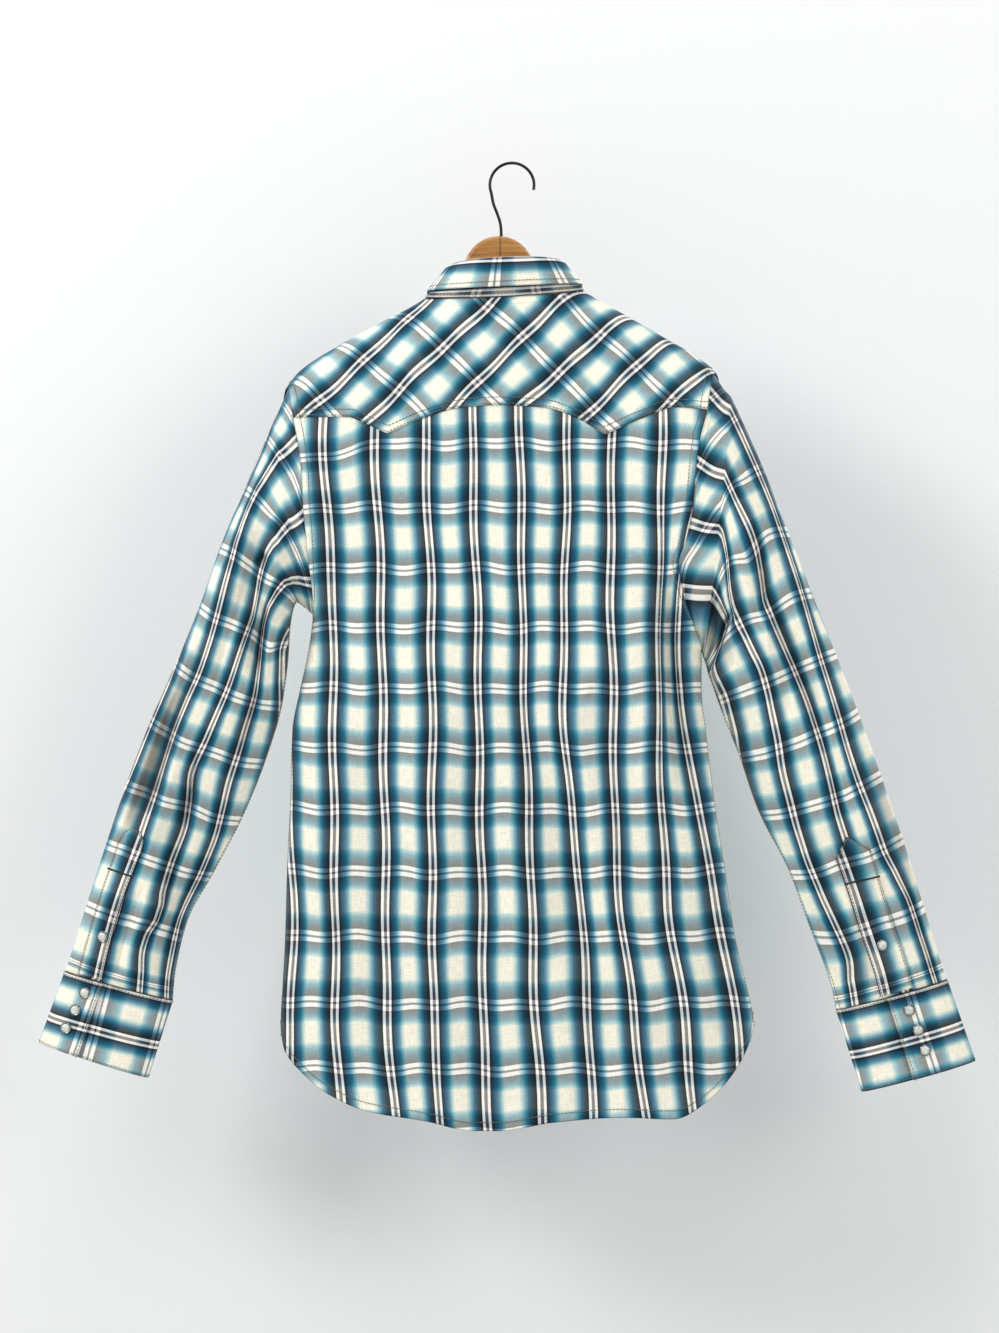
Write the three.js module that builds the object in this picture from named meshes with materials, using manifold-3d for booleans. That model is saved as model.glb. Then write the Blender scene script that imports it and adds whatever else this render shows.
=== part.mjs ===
// A western shirt with snaps, fastened and hung on a wooden hanger.
// Millimetres, +Z up. The back of the shirt faces -Y and its front +Y, so the wearer's left is at -X.
// The origin is the inner top of the hook, where a rail or a nail carries the hanger.
import * as THREE from 'three';
import { mergeVertices } from 'three/addons/utils/BufferGeometryUtils.js';
import Module from 'manifold-3d';

const wasm = await Module();
wasm.setup();

const { PI, abs, acos, cos, exp, max, min, sin, sqrt } = Math;

// Driving sizes
const SEAM = 0.3; // gap between pieces that are sewn together
const CLOTH = 1.5; // a panel of shirting with its seams
const YOKE_CLOTH = 1.9; // the yoke is cut double
const BAND = 2.0; // collar stand and cuffs, with their interlining
const LEAF = 1.1; // the folded collar
const YOKE_PROUD = 0.5; // the yoke stands this far over the panels under it
const FULL_DEPTH_Z = -320; // where the shoulders have opened to the full depth of the body
const ARMHOLE_DEPTH = 46; // half the width of an armhole, front to back
const SIDE_ROUNDING = 2.4; // 2 is an ellipse, and more is squarer at the sides
const SHOULDER_TURN = 0.35; // how far the back yoke wraps over the shoulder, in radians
const PLACKET_HALF = 17; // half the width of the front band
const SNAP_RADIUS = 5.3;
const SNAP_HEIGHT = 2.4;
const UNDERLAP_GAP = 1.1; // between the two fronts, whose facets differ
const STAND_FOOT_GAP = 1.5; // between the collar stand and the neck edge, whose facets differ
const CUFF_HALF = 18.6; // half the depth of the closed cuff
const CUFF_TURN = 2 * PI + 0.62; // a cuff goes round once and laps over itself
const CUFF_LIFT = 1.55; // its outer end is moved out by this, and its inner end in
const NECK_X = -7;
const NECK_HALF = 75;
const NECK_TILT = 0.047; // the collar hangs a little higher on the right
const WIRE_RADIUS = 1.4;
const HOOK_RADIUS = 20.6; // middle of the wire
const STEM_X = -10;
const WOOD_HALF = 7;

const COLUMNS = 28; // across the back
const ARMHOLE_ROWS = 6;
const SIDE_ROWS = 10;
const YOKE_ROWS = 7;
const FRONT_COLUMNS = 13;
const FRONT_YOKE_ROWS = 5;
const SLEEVE_ROWS = 17;
const CUFF_ROWS = 3;
const CUFF_COLUMNS = 26;
const STAND_COLUMNS = 34;
const LEAF_COLUMNS = 32;

const table = (columns, rows) => {
  const names = columns.split(' ');
  return rows.map((row) => Object.fromEntries(names.map((name, index) => [name, row[index]])));
};

// The shoulder line, carried over the neck as the arch that the collar stands round
const SHOULDER = table('x z', [
  [-222, -236], [-214, -216], [-206, -203], [-196, -192], [-160, -169], [-120, -147], [-82, -126],
  [-62, -105], [-40, -88], [-6, -80], [28, -86], [50, -100], [68, -119], [100, -138], [138, -160],
  [175, -182], [188, -193], [196, -205], [204, -224],
]);

// Side outline of the body, and its greatest depth behind and in front of the hanger
const BODY = table('z left right back front', [
  [-900, -215, 227, 48, 44], [-830, -215, 227, 50, 46], [-797, -215, 225, 52, 48],
  [-758, -213, 217, 54, 50], [-721, -211, 208, 56, 52], [-656, -209, 198, 58, 54],
  [-591, -206, 188, 60, 56], [-526, -204, 180, 61, 57], [-489, -197, 176, 61, 58],
  [-452, -189, 176, 60, 58], [-422, -185, 165, 59, 57], [-405, -184, 159, 58, 57],
  [-372, -187, 153, 56, 56], [-350, -189, 160, 54, 55], [-320, -192, 166, 52, 54],
  [-284, -194, 169, 52, 54], [-256, -198, 173, 52, 54], [-238, -202, 178, 52, 54],
]);
const UNDERARM = { left: -422, right: -452 };
const SIDE_SEAM_END = { left: -805, right: -797 };

// Lower edge of the back yoke, with its two points as corners
const YOKE_EDGE = table('x z corner', [
  [-204, -238], [-151, -238], [-137, -243], [-115, -253.5, true], [-86, -241], [-48, -230],
  [-11, -227.5], [31, -230], [59, -239], [85, -254.5, true], [119, -239.5], [150, -229], [182, -231],
]);

// Lower edge of each front yoke, from the armhole (0) to the front edge (1)
const FRONT_YOKE_EDGE = table('part z corner', [
  [0, -236], [0.3, -240], [0.47, -262, true], [0.68, -243], [1, -236],
]);

const HEM = table('x z', [
  [-215, -805], [-211, -822], [-196, -840], [-169, -861], [-132, -876], [-80, -884], [-34, -893],
  [-12, -893], [40, -885], [100, -881], [150, -883], [180, -868], [207, -840], [222, -812], [226, -797],
]);

// Rings of the sleeves: the outer and the inner end of each, and its half depth
const SLEEVES = {
  left: table('outX outZ inX inZ half', [
    [-221, -238, -192, -412, 47], [-235, -270, -200, -407, 48], [-251, -308, -205, -420, 48],
    [-270, -353, -207, -438, 48], [-290, -410, -208, -456, 47], [-311, -461, -214, -502, 46],
    [-336, -517, -228, -550, 44], [-357, -572, -250, -605, 42], [-376, -628, -277, -657, 39],
    [-394, -684, -303, -706, 34], [-409, -731, -314, -757, 25], [-415.2, -749.6, -315.6, -776.3, 18.2],
  ]),
  right: table('outX outZ inX inZ half', [
    [203, -215, 177, -454, 47], [216, -243, 178, -458, 48], [235, -286, 180, -463, 48],
    [255, -338, 183, -474, 48], [276, -392, 188, -488, 48], [299, -450, 197, -513, 46],
    [321, -507, 211, -548, 44], [342, -565, 229, -600, 42], [363, -626, 257, -655, 39],
    [381, -684, 276, -706, 34], [397, -736, 297, -763, 25], [404.1, -757.4, 301.6, -785.6, 18.2],
  ]),
};

const CUFFS = {
  left: {
    top: { outX: -416, outZ: -750, inX: -315, inZ: -777 },
    bottom: { outX: -440, outZ: -816, inX: -338, inZ: -849 },
    lap: 1.33,
    snaps: table('turn down', [[1.06, 0.18], [0.99, 0.43], [0.93, 0.69]]),
  },
  right: {
    top: { outX: 405, outZ: -758, inX: 301, inZ: -786 },
    bottom: { outX: 431, outZ: -833, inX: 325, inZ: -862 },
    lap: 1.69,
    snaps: table('turn down', [[1.4, 0.2], [1.36, 0.45], [1.36, 0.7]]),
  },
};

// The slit bands, by rows and columns of the sleeve's points
const SLEEVE_PLACKETS = {
  left: { rows: [11.6, 16.8], columns: [6.7, 9], snap: 14.8 },
  right: { rows: [11.6, 16.8], columns: [5, 7.45], snap: 14.8 },
};

// Folds: a line on the photographed face, how far it stands out (or in, below 0), and its half width
const BACK_FOLDS = table('x0 z0 x1 z1 bend depth width', [
  [140, -350, 160, -590, -6, -17, 13], [120, -370, 138, -600, 0, 7, 17],
  [30, -440, 128, -850, 12, 7, 22], [-5, -470, 88, -860, 8, -6, 22],
  [-85, -420, -62, -880, 5, 5, 24], [-45, -420, -18, -880, 0, -5, 20],
  [-150, -480, -135, -860, 4, -5, 22], [-196, -650, -165, -740, 6, -7, 14],
  [175, -640, 195, -830, 0, -7, 14], [-165, -300, -150, -420, 0, -4, 14],
]);
const FRONT_FOLDS = table('x0 z0 x1 z1 bend depth width', [
  [-140, -330, -165, -600, 6, -11, 14], [-110, -380, -70, -840, 8, 6, 22],
  [130, -340, 150, -600, 5, -11, 14], [95, -400, 70, -850, -8, 6, 22],
  [-150, -560, -125, -860, 0, -6, 20], [150, -600, 130, -860, 0, -6, 20],
]);
const SLEEVE_FOLDS = {
  left: table('x0 z0 x1 z1 bend depth width', [
    [-236, -330, -238, -480, 0, -9, 11], [-262, -330, -275, -470, 0, 4, 14],
    [-312, -480, -348, -610, 6, -10, 12], [-258, -370, -310, -545, -6, 6, 14],
    [-285, -560, -325, -700, -5, -6, 13], [-330, -600, -352, -690, 0, 4, 14],
  ]),
  right: table('x0 z0 x1 z1 bend depth width', [
    [172, -320, 198, -365, 4, -7, 9], [180, -405, 196, -470, 0, -12, 11],
    [205, -320, 245, -500, 6, 5, 14], [225, -360, 250, -510, 0, -7, 12],
    [275, -520, 305, -640, 0, 5, 15], [290, -600, 372, -740, -8, -7, 13],
  ]),
};

const LOOKS = {
  plaid: { color: 0x6f97a2, roughness: 0.85, metalness: 0 },
  snap: { color: 0xe9ebea, roughness: 0.25, metalness: 0.1 },
  wood: { color: 0xc9974f, roughness: 0.45, metalness: 0 },
  hook: { color: 0x1e2220, roughness: 0.35, metalness: 0.9 },
};

const mix = (a, b, part) => a + (b - a) * part;
const clamp = (value, low, high) => min(high, max(low, value));
const smooth = (low, high, value) => {
  const part = clamp((value - low) / (high - low), 0, 1);
  return part * part * (3 - 2 * part);
};

// A smooth curve through the rows of a table that never overshoots them, with corners where a row says so
function curveThrough(rows, from, to) {
  const sorted = [...rows].sort((a, b) => a[from] - b[from]);
  const at = sorted.map((row) => row[from]);
  const value = sorted.map((row) => row[to]);
  const last = at.length - 1;
  const slope = at.slice(1).map((position, i) => (value[i + 1] - value[i]) / (position - at[i]));
  const tangent = (i, side) => {
    if (i === 0) return slope[0];
    if (i === last) return slope[last - 1];
    if (sorted[i].corner) return side === 'before' ? slope[i - 1] : slope[i];
    const product = slope[i - 1] * slope[i];
    return product <= 0 ? 0 : (2 * product) / (slope[i - 1] + slope[i]);
  };
  return (position) => {
    if (position <= at[0]) return value[0] + slope[0] * (position - at[0]);
    if (position >= at[last]) return value[last] + slope[last - 1] * (position - at[last]);
    const i = at.findIndex((start, index) => index < last && position < at[index + 1] && position >= start);
    const length = at[i + 1] - at[i];
    const s = (position - at[i]) / length;
    const rise = value[i + 1] - value[i];
    const first = tangent(i, 'after') * length;
    const second = tangent(i + 1, 'before') * length;
    return value[i] + s * (first + s * (3 * rise - 2 * first - second + s * (first + second - 2 * rise)));
  };
}

const shoulderZ = curveThrough(SHOULDER, 'x', 'z');
const hemZ = curveThrough(HEM, 'x', 'z');
const yokeEdgeZ = curveThrough(YOKE_EDGE, 'x', 'z');
const frontYokeEdgeZ = curveThrough(FRONT_YOKE_EDGE, 'part', 'z');
const body = Object.fromEntries(
  ['left', 'right', 'back', 'front'].map((column) => [column, curveThrough(BODY, 'z', column)]),
);

// Height of the folds of a table over the smooth cloth at a place on the face
function foldHeight(folds, x, z) {
  let height = 0;
  for (const fold of folds) {
    const alongX = fold.x1 - fold.x0;
    const alongZ = fold.z1 - fold.z0;
    const length = Math.hypot(alongX, alongZ);
    const part = ((x - fold.x0) * alongX + (z - fold.z0) * alongZ) / (length * length);
    const sideways = ((z - fold.z0) * alongX - (x - fold.x0) * alongZ) / length;
    const off = (sideways - fold.bend * 4 * part * (1 - part)) / fold.width;
    const fade = smooth(-0.12, 0.25, part) * smooth(1.12, 0.75, part);
    height += fold.depth * exp(-off * off) * fade;
  }
  return height;
}

// Half the armhole's opening at a height between the full depth and the underarm
function armholeHalf(side, z) {
  const part = clamp((FULL_DEPTH_Z - z) / (FULL_DEPTH_Z - UNDERARM[side]), 0, 1);
  return ARMHOLE_DEPTH * sqrt(1 - part * part);
}

// Place across the body at a height, from -1 at its left side to 1 at its right
function acrossAt(x, z) {
  const [left, right] = [body.left(z), body.right(z)];
  return clamp((2 * x - left - right) / (right - left), -1, 1);
}

// Smooth depth of the body at a place below the shoulders: a rounded section, held open at the armholes
function lowerDepth(x, z, face) {
  const across = acrossAt(x, z);
  const crown = (1 - abs(across) ** SIDE_ROUNDING) ** (1 / SIDE_ROUNDING);
  const side = across < 0 ? 'left' : 'right';
  const nearSeam = smooth(0.86, 1, abs(across));
  const high = smooth(UNDERARM[side] - 50, FULL_DEPTH_Z, z);
  const opened = ARMHOLE_DEPTH * high * smooth(0.35, 0.95, abs(across));
  return body[face](z) * crown + mix(opened, armholeHalf(side, z), nearSeam) * (1 - crown);
}

// A turn of 0 is the shoulder line, and a quarter turn is the full depth behind it (or in front, below 0)
function overShoulder(x, turn) {
  const rise = shoulderZ(x) - FULL_DEPTH_Z;
  const depth = lowerDepth(x, FULL_DEPTH_Z, turn >= 0 ? 'back' : 'front');
  return new THREE.Vector3(x, -depth * sin(turn), FULL_DEPTH_Z + rise * cos(turn));
}
const turnAt = (x, z) => acos(clamp((z - FULL_DEPTH_Z) / (shoulderZ(x) - FULL_DEPTH_Z), 0, 1));

function onBody(x, z, face, out = 0) {
  const away = face === 'back' ? -1 : 1;
  const folds = face === 'back' ? BACK_FOLDS : FRONT_FOLDS;
  const level = min(z, FULL_DEPTH_Z);
  const lift = foldHeight(folds, x, z) * (1 - acrossAt(x, level) ** 6) + out;
  const rise = z > FULL_DEPTH_Z ? sin(turnAt(x, z)) : 1;
  return new THREE.Vector3(x, away * (lowerDepth(x, level, face) * rise + lift), z);
}

// Neck seam: a turn of 0 is the right side, a quarter turn the back, and three quarters the front
function neckPlace(turn) {
  const x = NECK_X + NECK_HALF * cos(turn);
  const sideZ = mix(-126, -119, (cos(turn) + 1) / 2);
  const z = sideZ - (sin(turn) >= 0 ? 4.5 : 64) * abs(sin(turn));
  return { x, z: min(z, shoulderZ(x)) };
}

const neckTurn = (place, angle) => Math.sign(sin(angle)) * turnAt(place.x, place.z);

// Angle round the neck at which the shoulder seam meets it
function neckCorner(side) {
  let [near, far] = [0, 0.6];
  for (let halving = 0; halving < 24; halving += 1) {
    const past = (near + far) / 2;
    const angle = side === 'left' ? PI + past : -past;
    if (-neckTurn(neckPlace(angle), angle) < SHOULDER_TURN) near = past;
    else far = past;
  }
  return side === 'left' ? PI + near : -near;
}

// Normals of a grid of points, turned to the side that it faces
function gridNormals(grid, closed, facing) {
  const rows = grid.length;
  const columns = grid[0].length;
  let agreement = 0;
  const normals = grid.map((row, i) =>
    row.map((point, j) => {
      const down = grid[min(rows - 1, i + 1)][j].clone().sub(grid[max(0, i - 1)][j]);
      const next = closed ? row[(j + 1) % columns] : row[min(columns - 1, j + 1)];
      const before = closed ? row[(j + columns - 1) % columns] : row[max(0, j - 1)];
      const normal = down.cross(next.clone().sub(before)).normalize();
      agreement += normal.dot(facing(i, j));
      return normal;
    }),
  );
  if (agreement < 0) normals.forEach((row) => row.forEach((normal) => normal.negate()));
  return normals;
}

function meshOf(name, points, faces, look) {
  const geometry = new THREE.BufferGeometry();
  const flat = points.flatMap((point) => [point.x, point.y, point.z]);
  geometry.setAttribute('position', new THREE.Float32BufferAttribute(flat, 3));
  geometry.setIndex(faces.flat());
  let volume = 0;
  for (const [a, b, c] of faces) {
    volume += points[a].dot(points[b].clone().cross(points[c]));
  }
  if (volume < 0) geometry.setIndex(faces.map(([a, b, c]) => [a, c, b]).flat());
  geometry.computeVertexNormals();
  const mesh = new THREE.Mesh(geometry, new THREE.MeshStandardMaterial(look));
  mesh.name = name;
  return mesh;
}

// A cloth wall: the grid is its outer face, and the inner face lies one thickness behind it
function clothWall(name, grid, thickness, normals, closed = false) {
  const rows = grid.length;
  const columns = grid[0].length;
  const outer = grid.flat();
  const inner = grid.flatMap((row, i) =>
    row.map((point, j) => point.clone().addScaledVector(normals[i][j], -thickness)),
  );
  const points = [...outer, ...inner];
  const faces = [];
  const quad = (a, b, c, d) => faces.push([a, b, c], [a, c, d]);
  const index = (i, j) => i * columns + (j % columns);
  const under = outer.length;
  const steps = closed ? columns : columns - 1;
  for (let i = 0; i < rows - 1; i += 1) {
    for (let j = 0; j < steps; j += 1) {
      const [a, b, c, d] = [index(i, j), index(i, j + 1), index(i + 1, j + 1), index(i + 1, j)];
      quad(a, b, c, d);
      quad(under + a, under + d, under + c, under + b);
    }
  }
  for (let j = 0; j < steps; j += 1) {
    quad(index(0, j + 1), index(0, j), under + index(0, j), under + index(0, j + 1));
    const end = rows - 1;
    quad(index(end, j), index(end, j + 1), under + index(end, j + 1), under + index(end, j));
  }
  if (!closed) {
    for (let i = 0; i < rows - 1; i += 1) {
      quad(index(i, 0), index(i + 1, 0), under + index(i + 1, 0), under + index(i, 0));
      const end = columns - 1;
      quad(index(i + 1, end), index(i, end), under + index(i, end), under + index(i + 1, end));
    }
  }
  return meshOf(name, points, faces, LOOKS.plaid);
}

// Even steps from 0 to 1
const steps = (count) => Array.from({ length: count + 1 }, (_, index) => index / count);

// Columns across a face, closer together at the sides, with one on each corner of the yoke
function backColumns() {
  const left = body.left(-238);
  const right = body.right(-238);
  const across = steps(COLUMNS).map((part) => 0.35 * (2 * part - 1) + 0.65 * sin((part - 0.5) * PI));
  for (const corner of YOKE_EDGE.filter((row) => row.corner)) {
    const wanted = (2 * corner.x - left - right) / (right - left);
    const gaps = across.map((value) => abs(value - wanted));
    across[gaps.indexOf(min(...gaps))] = wanted;
  }
  return across;
}

// Heights of the rows of a panel at one side seam: the armhole first, then the side
function sideHeights(side, topZ) {
  const heights = steps(ARMHOLE_ROWS).map((part) => mix(topZ, UNDERARM[side], sin((part * PI) / 2) ** 0.85));
  heights.push(...steps(SIDE_ROWS).slice(1).map((part) => mix(UNDERARM[side], SIDE_SEAM_END[side], part)));
  return heights;
}

// Rows of a body panel between its top edge and the hem; places are given as x and z
function panelPlaces(across, topZ, hemAt, heightsLeft, heightsRight) {
  const lastRow = heightsLeft.length - 1;
  return heightsLeft.map((leftZ, row) => {
    const rightZ = heightsRight[row];
    const down = row / lastRow;
    return across.map((value) => {
      const part = (value + 1) / 2;
      const x = mix(body.left(leftZ), body.right(rightZ), part);
      const line = mix(leftZ, rightZ, part);
      const top = topZ(value) - mix(heightsLeft[0], heightsRight[0], part);
      const hem = hemAt(value) - mix(heightsLeft[lastRow], heightsRight[lastRow], part);
      return { x, z: line + top * (1 - down) ** 4 + hem * down ** 3 };
    });
  });
}

// Normals of a body panel, square to the side seam below the armhole, so that the two panels meet flat
function panelNormals(grid, facing, seamColumns) {
  const normals = gridNormals(grid, false, facing);
  for (const row of normals.slice(ARMHOLE_ROWS)) {
    for (const column of seamColumns) row[column].setY(0).normalize();
  }
  return normals;
}

const HIGH_EDGE = { left: yokeEdgeZ(body.left(-238)), right: yokeEdgeZ(body.right(-231)) };
const SIDE_Z = {
  left: sideHeights('left', HIGH_EDGE.left),
  right: sideHeights('right', HIGH_EDGE.right),
};
const across = backColumns();

function backGrid() {
  const topX = (value) => mix(body.left(HIGH_EDGE.left), body.right(HIGH_EDGE.right), (value + 1) / 2);
  const hemX = (value) => mix(HEM[0].x, HEM[HEM.length - 1].x, (value + 1) / 2);
  const topZ = (value) => yokeEdgeZ(topX(value));
  const bottomZ = (value) => hemZ(hemX(value));
  const places = panelPlaces(across, topZ, bottomZ, SIDE_Z.left, SIDE_Z.right);
  return places.map((row, i) =>
    row.map((place, j) => {
      const point = onBody(place.x, place.z, 'back');
      if (j === 0 || j === across.length - 1) point.y -= SEAM / 2;
      if (i === 0) point.z -= SEAM;
      return point;
    }),
  );
}

// Turn at a part of the way up a yoke column; a column that crosses the shoulder has a row on its crest
function yokeTurn(lower, upper, part) {
  if (upper >= 0) return mix(lower, upper, part);
  const crest = (YOKE_ROWS - 2) / YOKE_ROWS;
  return part < crest ? lower * (1 - part / crest) : (upper * (part - crest)) / (1 - crest);
}

// Columns of a yoke along each shoulder, shared by its back and its front
const SHOULDER_COLUMNS = { left: 7, right: 7 };

// Back yoke: columns run from its lower edge to the neck seam, or over the shoulder
function backYokeGrid() {
  const lower = across.map((value) => {
    const x = mix(body.left(HIGH_EDGE.left), body.right(HIGH_EDGE.right), (value + 1) / 2);
    return { x, turn: turnAt(x, yokeEdgeZ(x)) };
  });
  const neckFrom = SHOULDER_COLUMNS.left;
  const neckTo = COLUMNS - SHOULDER_COLUMNS.right;
  const shoulderEnds = { left: -214, right: 195 };
  const corner = { left: neckCorner('left'), right: neckCorner('right') };
  const neckEnd = { left: neckPlace(corner.left).x, right: neckPlace(corner.right).x };
  const upper = lower.map((place, j) => {
    if (j <= neckFrom) {
      return { x: mix(shoulderEnds.left, neckEnd.left, j / neckFrom), turn: -SHOULDER_TURN };
    }
    if (j >= neckTo) {
      const part = (j - neckTo) / (lower.length - 1 - neckTo);
      return { x: mix(neckEnd.right, shoulderEnds.right, part), turn: -SHOULDER_TURN };
    }
    const inner = (j - neckFrom - 1) / (neckTo - neckFrom - 2);
    const angle = mix(PI, 0, inner);
    const neck = neckPlace(angle);
    return { x: neck.x, turn: neckTurn(neck, angle) };
  });
  return steps(YOKE_ROWS).map((part) =>
    lower.map((place, j) => {
      const x = mix(place.x, upper[j].x, part);
      const turn = yokeTurn(place.turn, upper[j].turn, part);
      const point = overShoulder(x, turn);
      const lift = YOKE_PROUD + (turn > 0 ? foldHeight(BACK_FOLDS, x, point.z) : 0);
      point.y -= lift * sin(turn);
      point.z += lift * cos(turn);
      return point;
    }),
  );
}

const frontMiddle = (z) => mix(NECK_X, 5.5, clamp((-190 - z) / 690, 0, 1));

// How far a front is moved out of the common surface: the right front passes under the left one
const underlap = (x, z, side) =>
  side === 'right' ? -(CLOTH + UNDERLAP_GAP) * smooth(frontMiddle(z) + 60, frontMiddle(z) + 25, x) : 0;

function frontEdgeX(z, side) {
  return frontMiddle(z) + (side === 'left' ? PLACKET_HALF : -PLACKET_HALF);
}

// Height of the seam between a front and its yoke
function frontSeamZ(side, part, spread) {
  return mix(HIGH_EDGE[side], frontYokeEdgeZ(spread), min(1, part * 8));
}

function frontGrid(side) {
  const heights = SIDE_Z[side];
  const lastRow = heights.length - 1;
  const seam = side === 'left' ? body.left : body.right;
  const frontHem = (part) => mix(SIDE_SEAM_END[side], -868, sin((part * PI) / 2) ** 0.6);
  return heights.map((sideZ, row) => {
    const down = row / lastRow;
    return steps(FRONT_COLUMNS).map((part) => {
      const spread = mix(1 - cos((part * PI) / 2), part, 0.5);
      const top = frontSeamZ(side, part, spread) - SEAM - heights[0];
      const hem = frontHem(part) - heights[lastRow];
      const z = sideZ + top * (1 - down) ** 4 + hem * down ** 3;
      const x = mix(seam(sideZ), frontEdgeX(z, side), spread);
      const point = onBody(x, z, 'front', underlap(x, z, side));
      if (part === 0) point.y += SEAM / 2;
      return point;
    });
  });
}

// Front yoke: columns run from its lower edge up to the shoulder seam or the neck seam
function frontYokeGrid(side) {
  const sign = side === 'left' ? -1 : 1;
  const seam = side === 'left' ? body.left : body.right;
  const lower = steps(FRONT_COLUMNS).map((part) => {
    const spread = mix(1 - cos((part * PI) / 2), part, 0.5);
    const z = frontSeamZ(side, part, spread);
    const x = mix(seam(HIGH_EDGE[side]), frontEdgeX(z, side), spread);
    return { x, turn: turnAt(x, z) };
  });
  const corner = SHOULDER_COLUMNS[side];
  const shoulderEnd = side === 'left' ? -214 : 195;
  const neckStart = side === 'left' ? neckCorner('left') : 2 * PI + neckCorner('right');
  const shoulderTurn = SHOULDER_TURN + (1.3 * SEAM) / ARMHOLE_DEPTH;
  const upper = lower.map((place, j) => {
    if (j <= corner) {
      return { x: mix(shoulderEnd, neckPlace(neckStart).x, j / corner), turn: shoulderTurn };
    }
    const edge = acos(clamp((frontEdgeX(-190, side) - NECK_X) / NECK_HALF, -1, 1));
    const angle = mix(neckStart, 2 * PI - edge, (j - corner) / (FRONT_COLUMNS - corner));
    const neck = neckPlace(angle);
    return { x: neck.x, turn: turnAt(neck.x, neck.z) };
  });
  return steps(FRONT_YOKE_ROWS).map((part) =>
    lower.map((place, j) => {
      const x = mix(place.x, upper[j].x, part);
      const turn = mix(place.turn, upper[j].turn, part);
      const point = overShoulder(x, -turn);
      const lift = YOKE_PROUD + foldHeight(FRONT_FOLDS, x, point.z);
      point.y += lift * sin(turn) + underlap(x, point.z, side);
      point.z += lift * cos(turn);
      return point;
    }),
  );
}

const backPoints = backGrid();
const yokePoints = backYokeGrid();
const frontPoints = { left: frontGrid('left'), right: frontGrid('right') };
const frontYokePoints = { left: frontYokeGrid('left'), right: frontYokeGrid('right') };

const facingBack = () => new THREE.Vector3(0, -1, 0.2);
const facingFront = () => new THREE.Vector3(0, 1, 0.2);
const bodyNormals = {
  back: panelNormals(backPoints, facingBack, [0, COLUMNS]),
  yoke: gridNormals(yokePoints, false, facingBack),
  front: {
    left: panelNormals(frontPoints.left, facingFront, [0]),
    right: panelNormals(frontPoints.right, facingFront, [0]),
  },
  frontYoke: {
    left: gridNormals(frontYokePoints.left, false, facingFront),
    right: gridNormals(frontYokePoints.right, false, facingFront),
  },
};

// The armhole seam as one loop of the panels' own edges: up the back, over the shoulder, down the front
function armholeLoop(side, backPanel, yokePanel, frontYokePanel, frontPanel) {
  const column = (grid) => grid.map((row) => (side === 'left' ? row[0] : row[row.length - 1]));
  const frontColumn = (grid) => grid.map((row) => row[0]);
  const back = column(backPanel).slice(0, ARMHOLE_ROWS + 1).reverse();
  const yoke = column(yokePanel);
  const frontYoke = frontColumn(frontYokePanel).reverse();
  const front = frontColumn(frontPanel).slice(0, ARMHOLE_ROWS + 1);
  const loop = [...back, ...yoke.slice(1), ...frontYoke.slice(1), ...front.slice(1, -1)];
  return loop.map((point) => point.clone());
}

// Turn of each point of the loop round the sleeve: 0 at the shoulder, a half turn at the underarm
function ringPoint(ring, turn) {
  const middle = new THREE.Vector3((ring.outX + ring.inX) / 2, 0, (ring.outZ + ring.inZ) / 2);
  const arm = new THREE.Vector3((ring.outX - ring.inX) / 2, 0, (ring.outZ - ring.inZ) / 2);
  const bulge = abs(sin(turn)) ** 0.9 * Math.sign(sin(turn));
  return middle.addScaledVector(arm, cos(turn)).add(new THREE.Vector3(0, -ring.half * bulge, 0));
}

function sleeveGrid(side) {
  const outward = side === 'left' ? -1 : 1;
  const loop = armholeLoop(side, backPoints, yokePoints, frontYokePoints[side], frontPoints[side]);
  const count = loop.length;
  const top = loop.reduce((best, point, j) => (point.z > loop[best].z ? j : best), 0);
  const highest = loop[top];
  const lowest = loop[0];
  const startTurn = loop.map((point, j) => {
    const along = (2 * (point.z - lowest.z)) / (highest.z - lowest.z) - 1;
    const turn = acos(clamp(along, -1, 1));
    return j <= top ? turn : -turn;
  });
  const evenTurn = loop.map((_, j) => PI - (2 * PI * j) / count);
  const rings = SLEEVES[side].map((ring, index) => ({ ...ring, index: index + 1 }));
  const along = Object.fromEntries(
    ['outX', 'outZ', 'inX', 'inZ', 'half'].map((column) => [column, curveThrough(rings, 'index', column)]),
  );
  const first = loop.map((point) => {
    const low = smooth(0.6, 1, (highest.z + lowest.z - 2 * point.z) / (highest.z - lowest.z));
    return point.clone().add(new THREE.Vector3(outward * 2.6 * SEAM, 0, 2 * SEAM * low));
  });
  const grid = [first];
  for (const part of steps(SLEEVE_ROWS - 1)) {
    const index = mix(1, rings.length, part);
    const ring = Object.fromEntries(Object.entries(along).map(([column, curve]) => [column, curve(index)]));
    const settle = smooth(0, 6, index);
    grid.push(
      startTurn.map((start, j) => {
        const turn = mix(start, evenTurn[j], settle);
        const point = ringPoint(ring, turn);
        const face = sin(turn);
        const shift = face > 0 ? 0 : 8;
        const lift = foldHeight(SLEEVE_FOLDS[side], point.x + outward * shift, point.z);
        const calm = smooth(rings.length, rings.length - 2, index) * smooth(0.5, 3, index);
        point.y -= lift * face * abs(face) * calm;
        return point;
      }),
    );
  }
  return grid;
}

const axisOut = (grid) => {
  const centres = grid.map((row) => {
    const centre = new THREE.Vector3();
    row.forEach((point) => centre.add(point));
    return centre.divideScalar(row.length);
  });
  return (i, j) => grid[i][j].clone().sub(centres[i]);
};

const sleevePoints = { left: sleeveGrid('left'), right: sleeveGrid('right') };

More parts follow.
